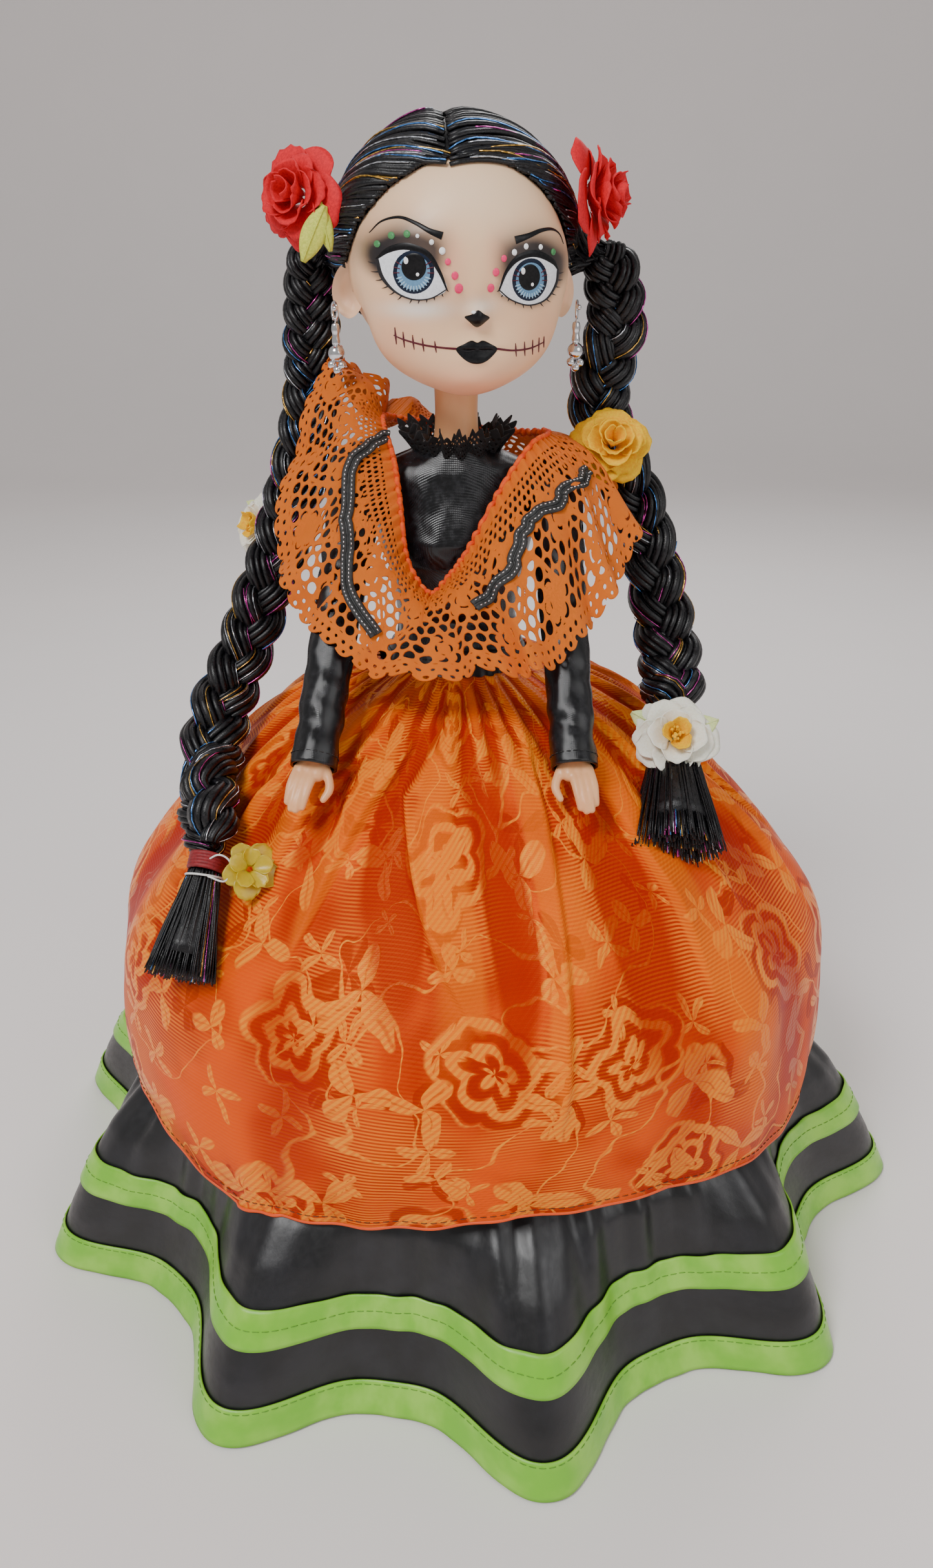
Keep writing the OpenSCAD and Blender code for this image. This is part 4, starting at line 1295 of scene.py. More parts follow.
def make_ribbon(name, node, low, high, stitch_at):
    """A satin ribbon sewn round the ruffle between two heights."""
    rows, cols = 9, 1080
    a = around(rows, cols)
    pucker = 0.35 * waves(a, 61, 9) + 0.2 * waves(a, 97, 10)
    t = np.linspace(0, 1, rows)[:, None]
    z = high + (low - high) * t + 0 * a
    base = ring_points(a, z, ruffle_radius(a, z))
    n = grid_normals(base, True)
    puff = 0.85 + (pucker + 0.5) * 0.5 * np.abs(t - stitch_at)
    p = base + n * puff[..., None]
    soup = Soup()
    v, f, uv = slab(p, 0.45, True, (np.linspace(0, 1000, cols + 1), np.linspace(0, 10, rows)))
    soup.add(v, f, 0, uv)
    k = int(round(stitch_at * (rows - 1)))
    soup.add(*stitches(p[k] + n[k] * 0.2, n[k], 1.9, 0.8, 0.14, 0.12), material=1)
    ob = soup.build(name, [RIBBON, THREAD_GREEN], "figure")
    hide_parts(node)
    return ob


HEM_AT = [-180, -148, -124, -100, -84, -62, -45, -30, 0, 40, 90, 140, 180]
HEM_Z = [58, 62, 52, 63, 68, 65, 56, 49, 56, 60, 58, 61, 58]
SKIRT_R = [24.5, 28, 37, 50, 65, 80, 100, 115, 119, 120.5, 119.5]
SKIRT_Z = [188.5, 187, 183, 176, 165, 150, 130, 110, 90, 70, 56]


FOLD_LINES = [
    # height of the ridge, its steep side, and its angle down the cloth as (height, angle)
    (3.6, 1, [(188, -66), (170, -70), (150, -73), (118, -77), (92, -79)]),
    (4.0, -1, [(188, -86), (167, -103), (145, -97), (118, -87)]),
    (3.2, 1, [(188, -99), (165, -112), (150, -116), (122, -120)]),
    (2.8, 1, [(188, -113), (160, -127), (135, -132)]),
    (2.6, -1, [(188, -52), (165, -52), (140, -50), (112, -53)]),
    (2.8, 1, [(188, -36), (160, -34), (128, -37)]),
    (2.6, -1, [(188, -128), (160, -143), (130, -147)]),
]


def unseen_folds():
    """Even creases for the side and the back, which the photo doesn't show."""
    for k, angle in enumerate(range(-18, 205, 15)):
        steep = 1 - 2 * (k % 2)
        yield 2.2 + 0.4 * (k % 4), steep, [(188, angle), (150, angle + 5 * steep), (108 + 14 * (k % 3), angle)]


def ridges(a, z, r):
    """The long creases that run down from the waist, each steeper on one side."""
    out = 0 * r
    for height, steep, line in [*FOLD_LINES, *unseen_folds()]:
        zs, turns = zip(*line[::-1])
        gap = (a - np.interp(z, zs, turns) + 180) % 360 - 180
        d = steep * np.radians(gap) * r
        shape = np.where(d > 0, np.exp(-((d / 1.5) ** 2)), np.exp(-np.abs(d) / 6.5))
        fade = np.clip((z - zs[0]) / 26, 0, 1) * np.clip((188.5 - z) / 14, 0.15, 1)
        out = out + 1.25 * height * shape * fade
    return out


def skirt_points(rows, cols):
    a = around(rows, cols)
    profile = spline(np.stack([SKIRT_R, SKIRT_Z], -1), 400)
    s = np.concatenate([[0], np.cumsum(np.linalg.norm(np.diff(profile, axis=0), axis=1))])
    t = np.linspace(0, s[-1], rows)[:, None] + 0 * a
    r, z = np.interp(t, s, profile[:, 0]), np.interp(t, s, profile[:, 1])
    hem = np.interp(a, HEM_AT, HEM_Z)
    z = np.where(z < 110, 110 - (110 - z) * (110 - hem) / (110 - SKIRT_Z[-1]), z)

    def near(mid, wide):
        return np.exp(-(((z - mid) / wide) ** 2))

    r = r + 2.0 * near(181, 10) * waves(a, 41, 21, 0.8) * np.clip((190 - z) / 4, 0.5, 1)
    r = r + 2.2 * near(166, 18) * waves(a, 23, 22, 0.8)
    r = r + 2.2 * near(142, 30) * waves(a, 13, 23, 0.8) + ridges(a, z, r)
    r = r + 1.8 * near(98, 34) * waves(a, 8, 24) + 0.5 * near(60, 14) * waves(a, 38, 25)
    r = r + 0.5 * near(120, 45) * smooth_noise(np.radians(a) * 14, z / 9, 5)
    r = np.where(z < 72, np.maximum(r, ruffle_radius(a, z) + 1.3), r)
    return a, z, r, s[-1]


def mark_fold_shade(mesh, r):
    """Writes how deep in a fold each point of the cloth lies: 0 on a ridge and 1 in a valley. The jacquard
    paints light on the ridges and shade in the valleys from it.
    """
    columns = range(-36, 37, 4)
    level = sum(np.roll(r, k, 1) for k in columns) / len(columns)
    depth = np.clip(0.5 - 0.28 * (r - level), 0, 1).ravel()
    tone = np.full((len(mesh.vertices), 4), 0.5)
    tone[:2 * len(depth), :3] = np.concatenate([depth, depth])[:, None]
    layer = mesh.color_attributes.new("fold", "FLOAT_COLOR", "POINT")
    layer.data.foreach_set("color", tone.ravel())


def make_skirt():
    rows, cols = 120, 1080
    a, z, r, drop = skirt_points(rows, cols)
    p = ring_points(a, z, r)
    soup = Soup()
    v, f, uv = slab(p, 0.55, True, (np.linspace(0, 750, cols + 1), np.linspace(0, drop, rows)))
    soup.add(v, f, 0, uv)
    n = grid_normals(p, True)
    k = rows - 3
    soup.add(*stitches(p[k] + n[k] * 0.28, n[k], 1.7, 1.0, 0.16, 0.14), material=1)
    edge = np.concatenate([p[-1], p[-1, :2]])
    soup.add(*tubes(edge[None], 0.6, 6), material=2)
    plain = satin_material("satin_orange_hem", (0.82, 0.06, 0.002), (0.92, 0.12, 0.004), 0.45, 0.4)
    ob = soup.build("skirt_jacquard", [JACQUARD, THREAD_DARK, plain], "figure")
    mark_fold_shade(ob.data, r)
    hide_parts("orange_skirt")
    return ob


def make_petticoat():
    rows, cols = 60, 360
    a = around(rows, cols)
    z = np.linspace(178, 5, rows)[:, None] + 0 * a
    r = np.interp(z, [5, 85, 108, 128, 145, 160, 172, 178], [100.5, 100.5, 96.5, 86.5, 70.5, 56.5, 43.5, 33])
    r = r + 0.9 * waves(a, 40, 31) * np.clip((z - 4) / 60, 0.5, 1)
    p = ring_points(a, z, r)
    p[..., 0] += -2 - lean(z)
    soup = Soup()
    v, f, uv = slab(p, 0.5, True, (np.linspace(0, 630, cols + 1), np.linspace(0, 230, rows)))
    soup.add(v, f, 0, uv)
    m = Nodes("net_stiff", (0.86, 0.82, 0.72), 0.75)
    coords = m.cloth_uv()
    h = weave(m, coords, 1.6, 0.8, 0.0004, 0.78)
    m.color(m.mix(h, (0.55, 0.50, 0.42), (0.88, 0.84, 0.76)))
    ob = soup.build("petticoat_net", [m.mat], "figure")
    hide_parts("petticoat")
    return ob


PETTICOAT = make_petticoat()
SKIRT = make_skirt()
RUFFLE = make_ruffle()
RIBBONS = [
    make_ribbon("ribbon_upper_satin", "upper_ribbon", 25, 35, 0.5),
    make_ribbon("ribbon_hem_satin", "hem_ribbon", 0.4, 10.2, 0.12),
]


# ---------------------------------------------------------------- black top, waist and neck
TORSO = np.array([
    # height, half width, reach to the front, reach to the back
    (183, 22, 21, 17), (188, 21, 18, 15), (194, 18.6, 14, 12.5), (202, 18, 13, 12), (212, 19.5, 16, 12),
    (220, 21.5, 18.5, 12.5), (227, 23, 18.8, 12.8), (235, 24.5, 15.5, 12.8), (242, 26, 12.8, 12),
    (248, 22, 11.2, 10.8), (251.5, 13, 10.2, 9.8), (254, 9.4, 9.0, 9.2),
])


def torso_ring(a, z):
    """Points of the torso's oval section at the angles a and heights z."""
    half, front, back = (np.interp(z, TORSO[:, 0], TORSO[:, i]) for i in (1, 2, 3))
    x = np.radians(a)
    s = np.sin(x)
    y = np.where(s < 0, front * s, back * s)
    return np.stack([FIGURE_X + half * np.sign(np.cos(x)) * np.abs(np.cos(x)) ** 0.9, y, z], -1)


def make_top():
    rows, cols = 110, 220
    a = around(rows, cols)
    z = np.linspace(254, 190, rows)[:, None] + 0 * a
    p = torso_ring(a, z)
    x = np.radians(a)
    crease = 0.22 * smooth_noise(x * 5, z / 5, 41) + 0.18 * smooth_noise(x * 9, z / 2.6, 42)
    n = grid_normals(p, True)
    p = p + n * crease[..., None]
    p[..., 1] += 1.0 * np.clip((z - 246) / 6, 0, 1)
    soup = Soup()
    v, f, uv = slab(p, 0.9, True, (np.linspace(0, 120, cols + 1), np.linspace(0, 70, rows)))
    soup.add(v, f, 0, uv)
    seam = p[-2] + n[-2] * 0.6
    soup.add(*stitches(seam, n[-2], 1.3, 0.7, 0.14, 0.1), material=1)
    ob = soup.build("knit_top_cloth", [KNIT, THREAD_BLACK], "figure")
    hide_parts("knit_top", "torso_front", "torso_back")


def make_waistband():
    soup = Soup()
    rows, cols = 14, 220
    a = around(rows, cols)
    z = np.linspace(193, 182, rows)[:, None] + 0 * a
    p = torso_ring(a, z)
    n = grid_normals(p, True)
    p = p + n * (1.4 + 0.5 * waves(a, 34, 43) * np.clip((191 - z) / 6, 0, 1))[..., None]
    v, f, uv = slab(p, 0.8, True, (np.linspace(0, 130, cols + 1), np.linspace(0, 11, rows)))
    soup.add(v, f, 0, uv)
    soup.add(*stitches(p[3] + n[3] * 0.4, n[3], 1.5, 0.8, 0.15, 0.12), material=1)
    ob = soup.build("waistband_satin", [SATIN, THREAD_BLACK], "figure")
    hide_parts("waistband")


def lathe(profile, sides, at=(0, 0)):
    """Points of a turned shape: the profile is (radius, height), and at is the place of its axis."""
    p = np.array(profile, float)
    a = np.radians(around(len(p), sides))
    r, z = p[:, :1], p[:, 1:]
    return np.stack([at[0] + r * np.cos(a), at[1] + r * np.sin(a), z + 0 * a], -1)


def make_neck():
    profile = [(7.6, 277), (6.9, 273), (6.5, 269), (6.3, 264), (6.4, 259), (6.9, 254), (8.0, 249.5),
               (8.6, 246)]
    p = lathe(spline(profile, 30), 64, (FIGURE_X, NECK[1]))
    soup = Soup()
    soup.add(p.reshape(-1, 3), [grid_faces(30, 64, True)])
    ob = soup.build("neck_vinyl", [BODY_SKIN], "figure")
    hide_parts("neck_peg")


def make_collar():
    """A small standing ruffle of black lace with a pointed edge."""
    rows, cols = 34, 700
    a = around(rows, cols)
    t = np.linspace(1, 0, rows)[:, None] + 0 * a
    flare = t**1.3
    x = np.radians(a)
    fold = np.radians(17 * a)
    r = 10.4 + 3.9 * flare + (0.5 + 2.1 * flare) * np.sin(fold + 1.2 * np.sin(np.radians(3 * a)))
    z = 248.6 + 11.0 * t + 1.4 * flare * np.cos(fold + 0.6) - 1.6 * np.sin(-x).clip(0) * t
    p = np.stack([FIGURE_X + 1.08 * r * np.cos(x), NECK[1] + r * np.sin(x), z], -1)
    length = 150.0
    s = (a + 180) / 360 * length
    w = (1 - t) * 12.0
    points = 2.4 * np.abs(((s / 2.5) % 1) - 0.5) * 2
    edge = w - points
    pitch = 1.9
    i, j = s / pitch, w / pitch
    d = np.minimum(
        np.hypot(i - np.round(i), j - np.round(j)),
        np.hypot(i - 0.5 - np.round(i - 0.5), j - 0.5 - np.round(j - 0.5)),
    ) * pitch
    holes = np.where((w > 2.5) & (w < 10), d - 0.42, 1)
    field = np.minimum(edge + 0.2, holes)
    soup = Soup()
    made = openwork(p, grid_normals(p, True), field, (np.linspace(0, length, cols + 1), w[:, 0]), 0.35)
    add_openwork(soup, made)
    profile = [(9.6, 251.5), (11.0, 251.2), (11.3, 249.6), (10.8, 248.2), (9.8, 248.0)]
    band = lathe(profile, 96, (FIGURE_X, NECK[1]))
    soup.add(band.reshape(-1, 3), [grid_faces(5, 96, True)], 0)
    ob = soup.build("collar_lace", [BLACK_LACE], "figure")
    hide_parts("lace_collar")


make_top()
make_waistband()
make_neck()
make_collar()


# ---------------------------------------------------------------- orange lace flounce
# Columns round the neck from the middle of the back by the doll's right: neck edge, then hem
LACE_COLUMNS = [
    [(-4, 17, 256), (-4, 38, 236)], [(-17, 13, 258), (-21, 31, 256)], [(-24, 7, 260), (-32, 20, 273)],
    [(-26, 0, 260.5), (-41, 7, 278)], [(-24.5, -7, 258.5), (-50, -5, 258)],
    [(-21.5, -12, 250), (-57, -17, 233)], [(-19.8, -18, 239.5), (-52, -31, 213)],
    [(-18.1, -22, 223.5), (-35, -46, 201)], [(-11.7, -24.5, 214), (-16, -52, 196.5)],
    [(-6, -24, 219), (1, -53, 199.5)], [(-0.3, -22.5, 227.2), (14, -53, 198.5)],
    [(9.1, -18, 244.1), (25, -50, 201)], [(17.4, -10, 254.6), (36, -41, 211)],
    [(22, -3, 256), (45, -27, 221)], [(22, 4, 256), (49, -12, 231)], [(17, 11, 255), (43, 9, 238)], [(8, 16, 255), (22, 32, 236)],
]
LACE_WIDE, LACE_LONG = 46.0, 408.0


def lace_surface(rows, cols):
    neck = spline([c[0] for c in LACE_COLUMNS], cols, closed=True)
    hem = spline([c[1] for c in LACE_COLUMNS], cols, closed=True)
    u = np.arange(cols) / cols
    t = np.linspace(0, 1, rows)[:, None, None]
    across = hem - neck
    out = unit((neck - [FIGURE_X, 0, 0]) * [1, 1, 0])
    along = unit(np.roll(hem + neck, -1, 0) - np.roll(hem + neck, 1, 0))
    lift = unit(np.cross(across, along))
    lift = lift * np.where(np.sum(lift * (out + [0, 0, 0.8]), -1, keepdims=True) < 0, -1, 1)
    bow = 5.5 * np.sin(np.pi * t) + 1.2 * np.sin(2 * np.pi * t)
    ang = 2 * np.pi * u[:, None]
    ruffled = 2.4 * np.sin(15 * ang + 1.1 * np.sin(3 * ang) + 0.8) + 1.1 * np.sin(26 * ang + 2.0)
    gathers = 0.7 * np.sin(75 * ang + 2.0 * np.sin(5 * ang)) * np.exp(-t * 7)
    gathers = gathers + 0.3 * np.sin(110 * ang) * np.exp(-t * 9)
    return neck + across * t + lift * (bow + ruffled * t**1.6 + gathers)


def lace_field(s, w):
    """Above 0 where there is thread; s runs along the lace and w from its neck edge to its hem."""
    def net(pitch, hole, shift=0.0):
        i, j = (s + shift) / pitch, w / (pitch * 0.866)
        j0 = np.floor(j)
        best = 9.0
        for dj in (0, 1):
            row = j0 + dj
            off = 0.5 * (row % 2)
            di = i - off - np.round(i - off)
            best = np.minimum(best, np.hypot(di * pitch, (j - row) * pitch * 0.866))
        return best - hole

    def flowers(spacing, at, size, petals, phase=0.0):
        c = (s / spacing + phase) % 1 - 0.5
        x, y = c * spacing, w - at
        rad, ang = np.hypot(x, y), np.arctan2(y, x)
        rim = size * (0.62 + 0.38 * np.abs(np.cos(petals * ang / 2)))
        leaf = rim - rad
        slit = np.abs(rad - size * 0.45) - 0.35
        return np.where(rad < size * 0.6, np.minimum(leaf, slit), leaf)

    big = net(4.3, 1.62)
    fine = net(2.6, 0.78, 0.6)
    field = np.where(w < 12, fine, big)
    field = np.maximum(field, flowers(24.0, 19.5, 6.6, 5))
    field = np.maximum(field, flowers(24.0, 33.5, 5.2, 6, 0.5))
    stem = 0.9 - np.abs(w - 26.5 - 5.5 * np.sin(2 * np.pi * s / 24.0))
    field = np.maximum(field, stem)
    leaf = 1.6 - np.abs(w - 14.5 - 2.2 * np.sin(2 * np.pi * s / 12.0 + 1))
    field = np.maximum(field, np.minimum(leaf, net(3.0, 0.5)))
    field = np.where(w > 39.5, net(3.0, 0.62, 0.9), field)
    field = np.where(w < 4.5, 1.0, field)
    scallop = LACE_WIDE - 2.6 + 2.4 * np.sqrt(np.abs(np.sin(np.pi * s / 6.1))) - w
    return np.minimum(field, scallop)


def make_lace():
    rows, cols = 92, 900
    p = lace_surface(rows, cols)
    n = grid_normals(p, True)
    row = p[int(rows * 0.6)]
    step = np.linalg.norm(np.roll(row, -1, 0) - row, axis=1)
    along = np.concatenate([[0], np.cumsum(step)]) / step.sum() * LACE_LONG
    s = np.broadcast_to(along[:-1], (rows, cols))
    w = np.broadcast_to(np.linspace(0, LACE_WIDE, rows)[:, None], (rows, cols))
    fray = 0.12 * smooth_noise(s * 1.3, w * 1.3, 61)
    soup = Soup()
    made = openwork(p, n, lace_field(s, w) + fray, (along, w[:, 0]), 0.45)
    add_openwork(soup, made)
    roll = p[1] + n[1] * 0.2
    roll = np.concatenate([roll, roll[:2]])
    soup.add(*tubes(roll[None], 0.8, 8), material=1)
    gathered = mottled("lace_gathered_edge", (0.80, 0.06, 0.003), (0.90, 0.13, 0.006), 0.7, 0.8, 0.8)
    ob = soup.build("flounce_lace", [LACE, gathered], "figure")
    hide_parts("lace_flounce")
    coarse = p[::3, ::6]
    tree = BVHTree.FromPolygons([tuple(v) for v in coarse.reshape(-1, 3)],
                                [tuple(f) for f in grid_faces(coarse.shape[0], coarse.shape[1], True)])
    return ob, tree


TRIM_ROUTES = [
    [(-22.5, -10, 258), (-33.5, -16, 250.4), (-34.5, -24, 238), (-34.8, -27, 230.3), (-33.3, -36, 216.8),
     (-26.3, -43, 207.4)],
    [(32.1, -12, 245.3), (26.1, -18, 239.7), (18.0, -26, 232.3), (13.5, -32, 226), (8.9, -38, 219.6),
     (1.2, -42, 215.1)],
]


def make_trims(tree):
    """Two narrow black braids with silver stitches, sewn down the lace."""
    soup = Soup()
    for route in TRIM_ROUTES:
        path = spline(route, 150)
        hits = [tree.find_nearest(Vector(q)) for q in path]
        on = np.array([tuple(h[0]) for h in hits])
        nor = np.array([tuple(h[1]) for h in hits])
        nor = nor * np.where(nor @ np.array([0, -0.8, 0.6]) < 0, -1, 1)[:, None]
        for _ in range(6):
            on[1:-1] = (on[:-2] + on[1:-1] * 2 + on[2:]) / 4
            nor[1:-1] = unit(nor[:-2] + nor[1:-1] * 2 + nor[2:])
        along = unit(np.gradient(on, axis=0))
        side = unit(np.cross(along, nor))
        base = on + nor * 0.75
        for off in (-1.05, 1.05):
            line = base + side * off
            soup.add(*tubes(line[None], 0.95, 8, (0, -0.7, 0.7), 0.55))
            s = np.concatenate([[0], np.cumsum(np.linalg.norm(np.diff(line, axis=0), axis=1))])
            at = np.arange(0.6, s[-1] - 0.6, 1.25)
            top = line + nor * 0.55
            for c in at:
                a, b = (np.array([np.interp(c + e, s, top[:, i]) for i in range(3)]) for e in (-0.34, 0.34))
                thread = np.stack([a, (a + b) / 2, b])
                soup.add(*tubes(thread[None], [0.16, 0.24, 0.16], 5), material=1)
        soup.add(*tubes((base - nor * 0.3)[None], 0.5, 6), material=0)
    ob = soup.build("trims_braided", [THREAD_BLACK, SILVER], "figure")
    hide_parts("braid_trims")
    return ob


FLOUNCE, LACE_TREE = make_lace()
TRIMS = make_trims(LACE_TREE)


# ---------------------------------------------------------------- arms
def arm_points(side):
    """Shoulder and cuff from the frame's joints."""
    name = "left" if side > 0 else "right"
    shoulder = np.array(JOINTS["shoulder_" + name]["pos_m"]) / MM
    cuff = np.array(JOINTS["wrist_" + name]["pos_m"]) / MM
    return name, shoulder, cuff


def make_arm(side):
    name, shoulder, cuff = arm_points(side)
    axis = unit(cuff - shoulder)
    across = unit(np.cross(axis, [0, 0, 1]))
    up = np.cross(across, axis)
    reach = np.linalg.norm(cuff - shoulder)
    rows, cols = 130, 72
    t = np.linspace(-7.8, reach + 1.5, rows)
    dome = np.sqrt(np.clip(1 - (np.clip(-t, 0, 7.8) / 7.9) ** 2, 0.0004, 1))
    r = np.interp(t, [-8, 6, 25, 50, reach - 10, reach + 2], [8.0, 8.1, 7.1, 6.4, 6.0, 6.2]) * dome
    a = np.radians(around(rows, cols))
    tt = t[:, None] + 0 * a
    crease = 0.32 * smooth_noise(a * 2.2 + 5 * side, tt / 2.6, 71) * np.clip((tt - 2) / 12, 0, 1)
    rings = 0.25 * np.sin(tt / 1.7 + 2.2 * np.sin(a + side)) * np.exp(-(((tt - 30) / 16) ** 2))
    rings += 0.3 * np.sin(tt / 1.5 + 1.6 * np.cos(a)) * np.exp(-(((tt - reach + 12) / 9) ** 2))
    rr = r[:, None] + crease + rings
    p = (
        shoulder + tt[..., None] * axis
        + (rr * np.cos(a))[..., None] * across + (rr * np.sin(a))[..., None] * up
    )
    soup = Soup()
    v, f, uv = slab(p, 0.7, True, (np.linspace(0, 40, cols + 1), t))
    soup.add(v, f, 0, uv)
    n = grid_normals(p, True)
    soup.add(*stitches(p[-5] + n[-5] * 0.4, n[-5], 1.2, 0.7, 0.12, 0.1), material=1)
    ob = soup.build("sleeve_cloth_" + name, [KNIT, THREAD_BLACK], "arm_" + name)
    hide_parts("sleeve_" + name)
    make_hand(side, name, cuff)


FINGERTIPS = {      # the two arms lie at slightly different slants
    "left": np.array([FIGURE_X + 35, -70, 166]),
    "right": np.array([FIGURE_X - 43, -70, 166]),
}


def make_hand(side, name, cuff):
    """A mitten of a hand: four fingers with grooves between them, and a thumb that stands off."""
    axis = unit(FINGERTIPS[name] - cuff)
    inner = unit(np.array([-side, 0, 0]) - axis * (axis @ np.array([-side, 0, 0])))
    back = unit(np.cross(axis, inner) * side)
    back = back * (1 if back[2] > 0 else -1)
    parts = []

    def blob(points, radii):
        q = spline(points, 24)
        rad = np.interp(np.linspace(0, 1, 24), np.linspace(0, 1, len(radii)), radii)
        for c, r in zip(q, rad):
            parts.append(ball(c, r, 12))

    def at(along, across, out):
        return cuff + along * axis + across * inner + out * back

    for off in (-2.4, 0.0, 2.4):
        blob([at(-4, off * 0.5, 0), at(0, off * 0.75, 0), at(3.6, off - 0.4, 0.2)], [2.7, 2.6, 2.2])
    for k, off in enumerate((-3.9, -2.2, -0.5, 1.1)):
        end = (13.2, 15.0, 15.2, 14.0)[k]
        blob([at(3, off * 0.9, 0.5), at(8, off - 0.2, 1.0), at(end - 2.4, off * 0.95 - 0.4, 0.2),
              at(end, off * 0.9 - 0.5, -0.8)], [1.6, 1.25, 1.15, 1.0])
    thumb = [at(0.5, 2.6, -0.2), at(3.5, 5.0, -0.4), at(7.0, 6.3, -0.8), at(10.2, 5.4, -1.3)]
    blob(thumb, [1.9, 1.35, 1.3, 1.0])
    soup = Soup()
    for v, f in parts:
        soup.add(v, f)
    ob = soup.build("hand_vinyl_" + name, [BODY_SKIN], None)
    remesh = ob.modifiers.new("merge", "REMESH")
    remesh.mode = "VOXEL"
    remesh.voxel_size = 0.34 * MM
    smooth = ob.modifiers.new("smooth", "SMOOTH")
    smooth.factor, smooth.iterations = 0.5, 5
    bpy.context.view_layer.update()
    done = bpy.data.meshes.new_from_object(ob.evaluated_get(bpy.context.evaluated_depsgraph_get()))
    ob.modifiers.clear()
    ob.data = done
    done.polygons.foreach_set("use_smooth", np.full(len(done.polygons), True))
    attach(ob, "hand_" + name)
    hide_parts("hand_" + name)


make_arm(1)
make_arm(-1)


# ---------------------------------------------------------------- flowers
def frame_of(axis):
    axis = unit(axis)
    side = unit(np.cross(axis, [0.05, 0.1, 1.0]))
    return axis, side, np.cross(side, axis)


def petal(a0, spread, r0, r1, rise, curl, cup, rng, rows=10, cols=13):
    """Local points of one petal: it leaves the middle at angle a0 and its rim is wavy."""
    v = np.linspace(0, 1, rows)[:, None]
    q = np.linspace(-1, 1, cols)[None]
    wide = np.sin(np.pi * (0.16 + 0.66 * v)) ** 0.8
    a = a0 + spread / 2 * q * wide
    ragged = rng.uniform(0.4, 1.5) * np.cos(rng.integers(2, 5) * np.pi * q + rng.uniform(0, 6))
    rim = 1 - 0.20 * q**2 - 0.03 * ragged
    r = r0 + (r1 - r0) * v * (1 - (1 - rim) * v)
    h = rise * v**0.8 - curl * v**3.5 + cup * (q**2) * v
    h = h + 0.05 * r1 * np.sin(3.2 * q * rng.uniform(0.7, 1.3) + rng.uniform(0, 6)) * v**2
    return np.stack([r * np.cos(a), r * np.sin(a), h], -1)


def bloom(name, node, centre, axis, size, rings, mats, body, seed, extra=None):
    """A paper flower from rings of (count, inner, outer, rise, curl, spread, material).

    Lengths are shares of its radius.
    """
    rng = np.random.default_rng(seed)
    axis, side, up = frame_of(axis)
    soup = Soup()

    def place(local):
        return np.asarray(centre) + local[..., :1] * side + local[..., 1:2] * up + local[..., 2:] * axis

    for count, r0, r1, rise, curl, spread, mat in rings:
        turn = rng.uniform(0, 6.28)
        for j in range(count):
            a0 = turn + 2 * np.pi * j / count + rng.uniform(-0.12, 0.12)
            reach = r1 * size * rng.uniform(0.92, 1.08)
            height = rise * size * rng.uniform(0.9, 1.1)
            bend = curl * size * rng.uniform(0.6, 1.3)
            p = petal(a0, spread, r0 * size, reach, height, bend, 0.10 * size, rng)
            p[..., 2] += 0.03 * size * (j % 2)
            v, f, _ = slab(place(p), 0.28, False)
            soup.add(v, f, mat)
    if extra:
        extra(soup, place, rng)
    ob = soup.build(name, mats, body)
    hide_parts(node)
    return ob


ROSE = [
    (5, 0.30, 1.00, 0.10, 0.22, 1.75, 0), (5, 0.22, 0.82, 0.34, 0.16, 1.8, 0),
    (4, 0.16, 0.62, 0.52, 0.10, 2.1, 0), (3, 0.10, 0.42, 0.62, 0.03, 2.6, 0), (2, 0.04, 0.24, 0.66, 0.0, 3.6, 0),
]
OPEN_ROSE = [
    (5, 0.2, 1.0, 0.04, 0.10, 1.75, 0), (5, 0.16, 0.84, 0.16, 0.10, 1.8, 0),
    (4, 0.12, 0.62, 0.34, 0.06, 2.0, 0), (3, 0.05, 0.36, 0.42, 0.0, 2.3, 1),
]
CLEAR_FLOWER = [(5, 0.12, 1.0, 0.12, 0.10, 1.5, 0), (5, 0.1, 0.7, 0.35, 0.05, 1.5, 0)]


def under_leaf(soup, place, length, angle):
    """A leaf that sticks out from behind a white rose at an angle."""
    wide, back, mat = 8, -0.5, 2
    v = np.linspace(0, 1, 14)[:, None]
    q = np.linspace(-1, 1, 9)[None]
    half = wide / 2 * np.sin(np.pi * np.clip(v, 0.02, 0.985)) ** 0.8
    x = length * v + 0 * q
    y = half * q
    z = back - 0.8 * np.abs(q) * v + 1.4 * np.sin(3 * v) + 0.5 * np.sin(7 * v + q)
    c, s = math.cos(angle), math.sin(angle)
    local = np.stack([x * c - y * s, x * s + y * c, z], -1)
    verts, faces, _ = slab(place(local), 0.3, False)
    soup.add(verts, faces, mat)
    rib = local[:, 4] + np.array([0, 0, 0.25])
    soup.add(*tubes(place(rib)[None], 0.22, 5), material=mat)


def white_middle(soup, place, rng):
    """Stamens in the middle of a white rose, and three leaves behind it."""
    for _ in range(16):
        a, h = rng.uniform(0, 6.28), rng.uniform(2.5, 4.0)
        r = rng.uniform(0.3, 2.4)
        root = np.array([0.3 * r * math.cos(a), 0.3 * r * math.sin(a), 1.0])
        top = np.array([r * math.cos(a), r * math.sin(a), h + 1])
        pts = place(np.stack([root, (root + top) / 2 + [0, 0, 0.4], top]))
        soup.add(*tubes(pts[None], 0.22, 5), material=1)
        soup.add(*ball(pts[-1], 0.5, 8), material=1)
    for length, angle in ((14.5, 0.5), (14.5, 2.7), (14.0, -1.7)):
        under_leaf(soup, place, length, angle)


def clear_petal_material():
    m = Nodes("petal_clear_yellow", (0.90, 0.70, 0.03), 0.35, Transmission_Weight=0.35,
              Subsurface_Weight=0.2)
    fibre = m.noise(m.object_mm(), 1.1, 3)
    m.color(m.mix(fibre, (0.92, 0.72, 0.03), (0.78, 0.55, 0.01)))
    m.bump(fibre, 0.3, 0.0002)
    return m.mat


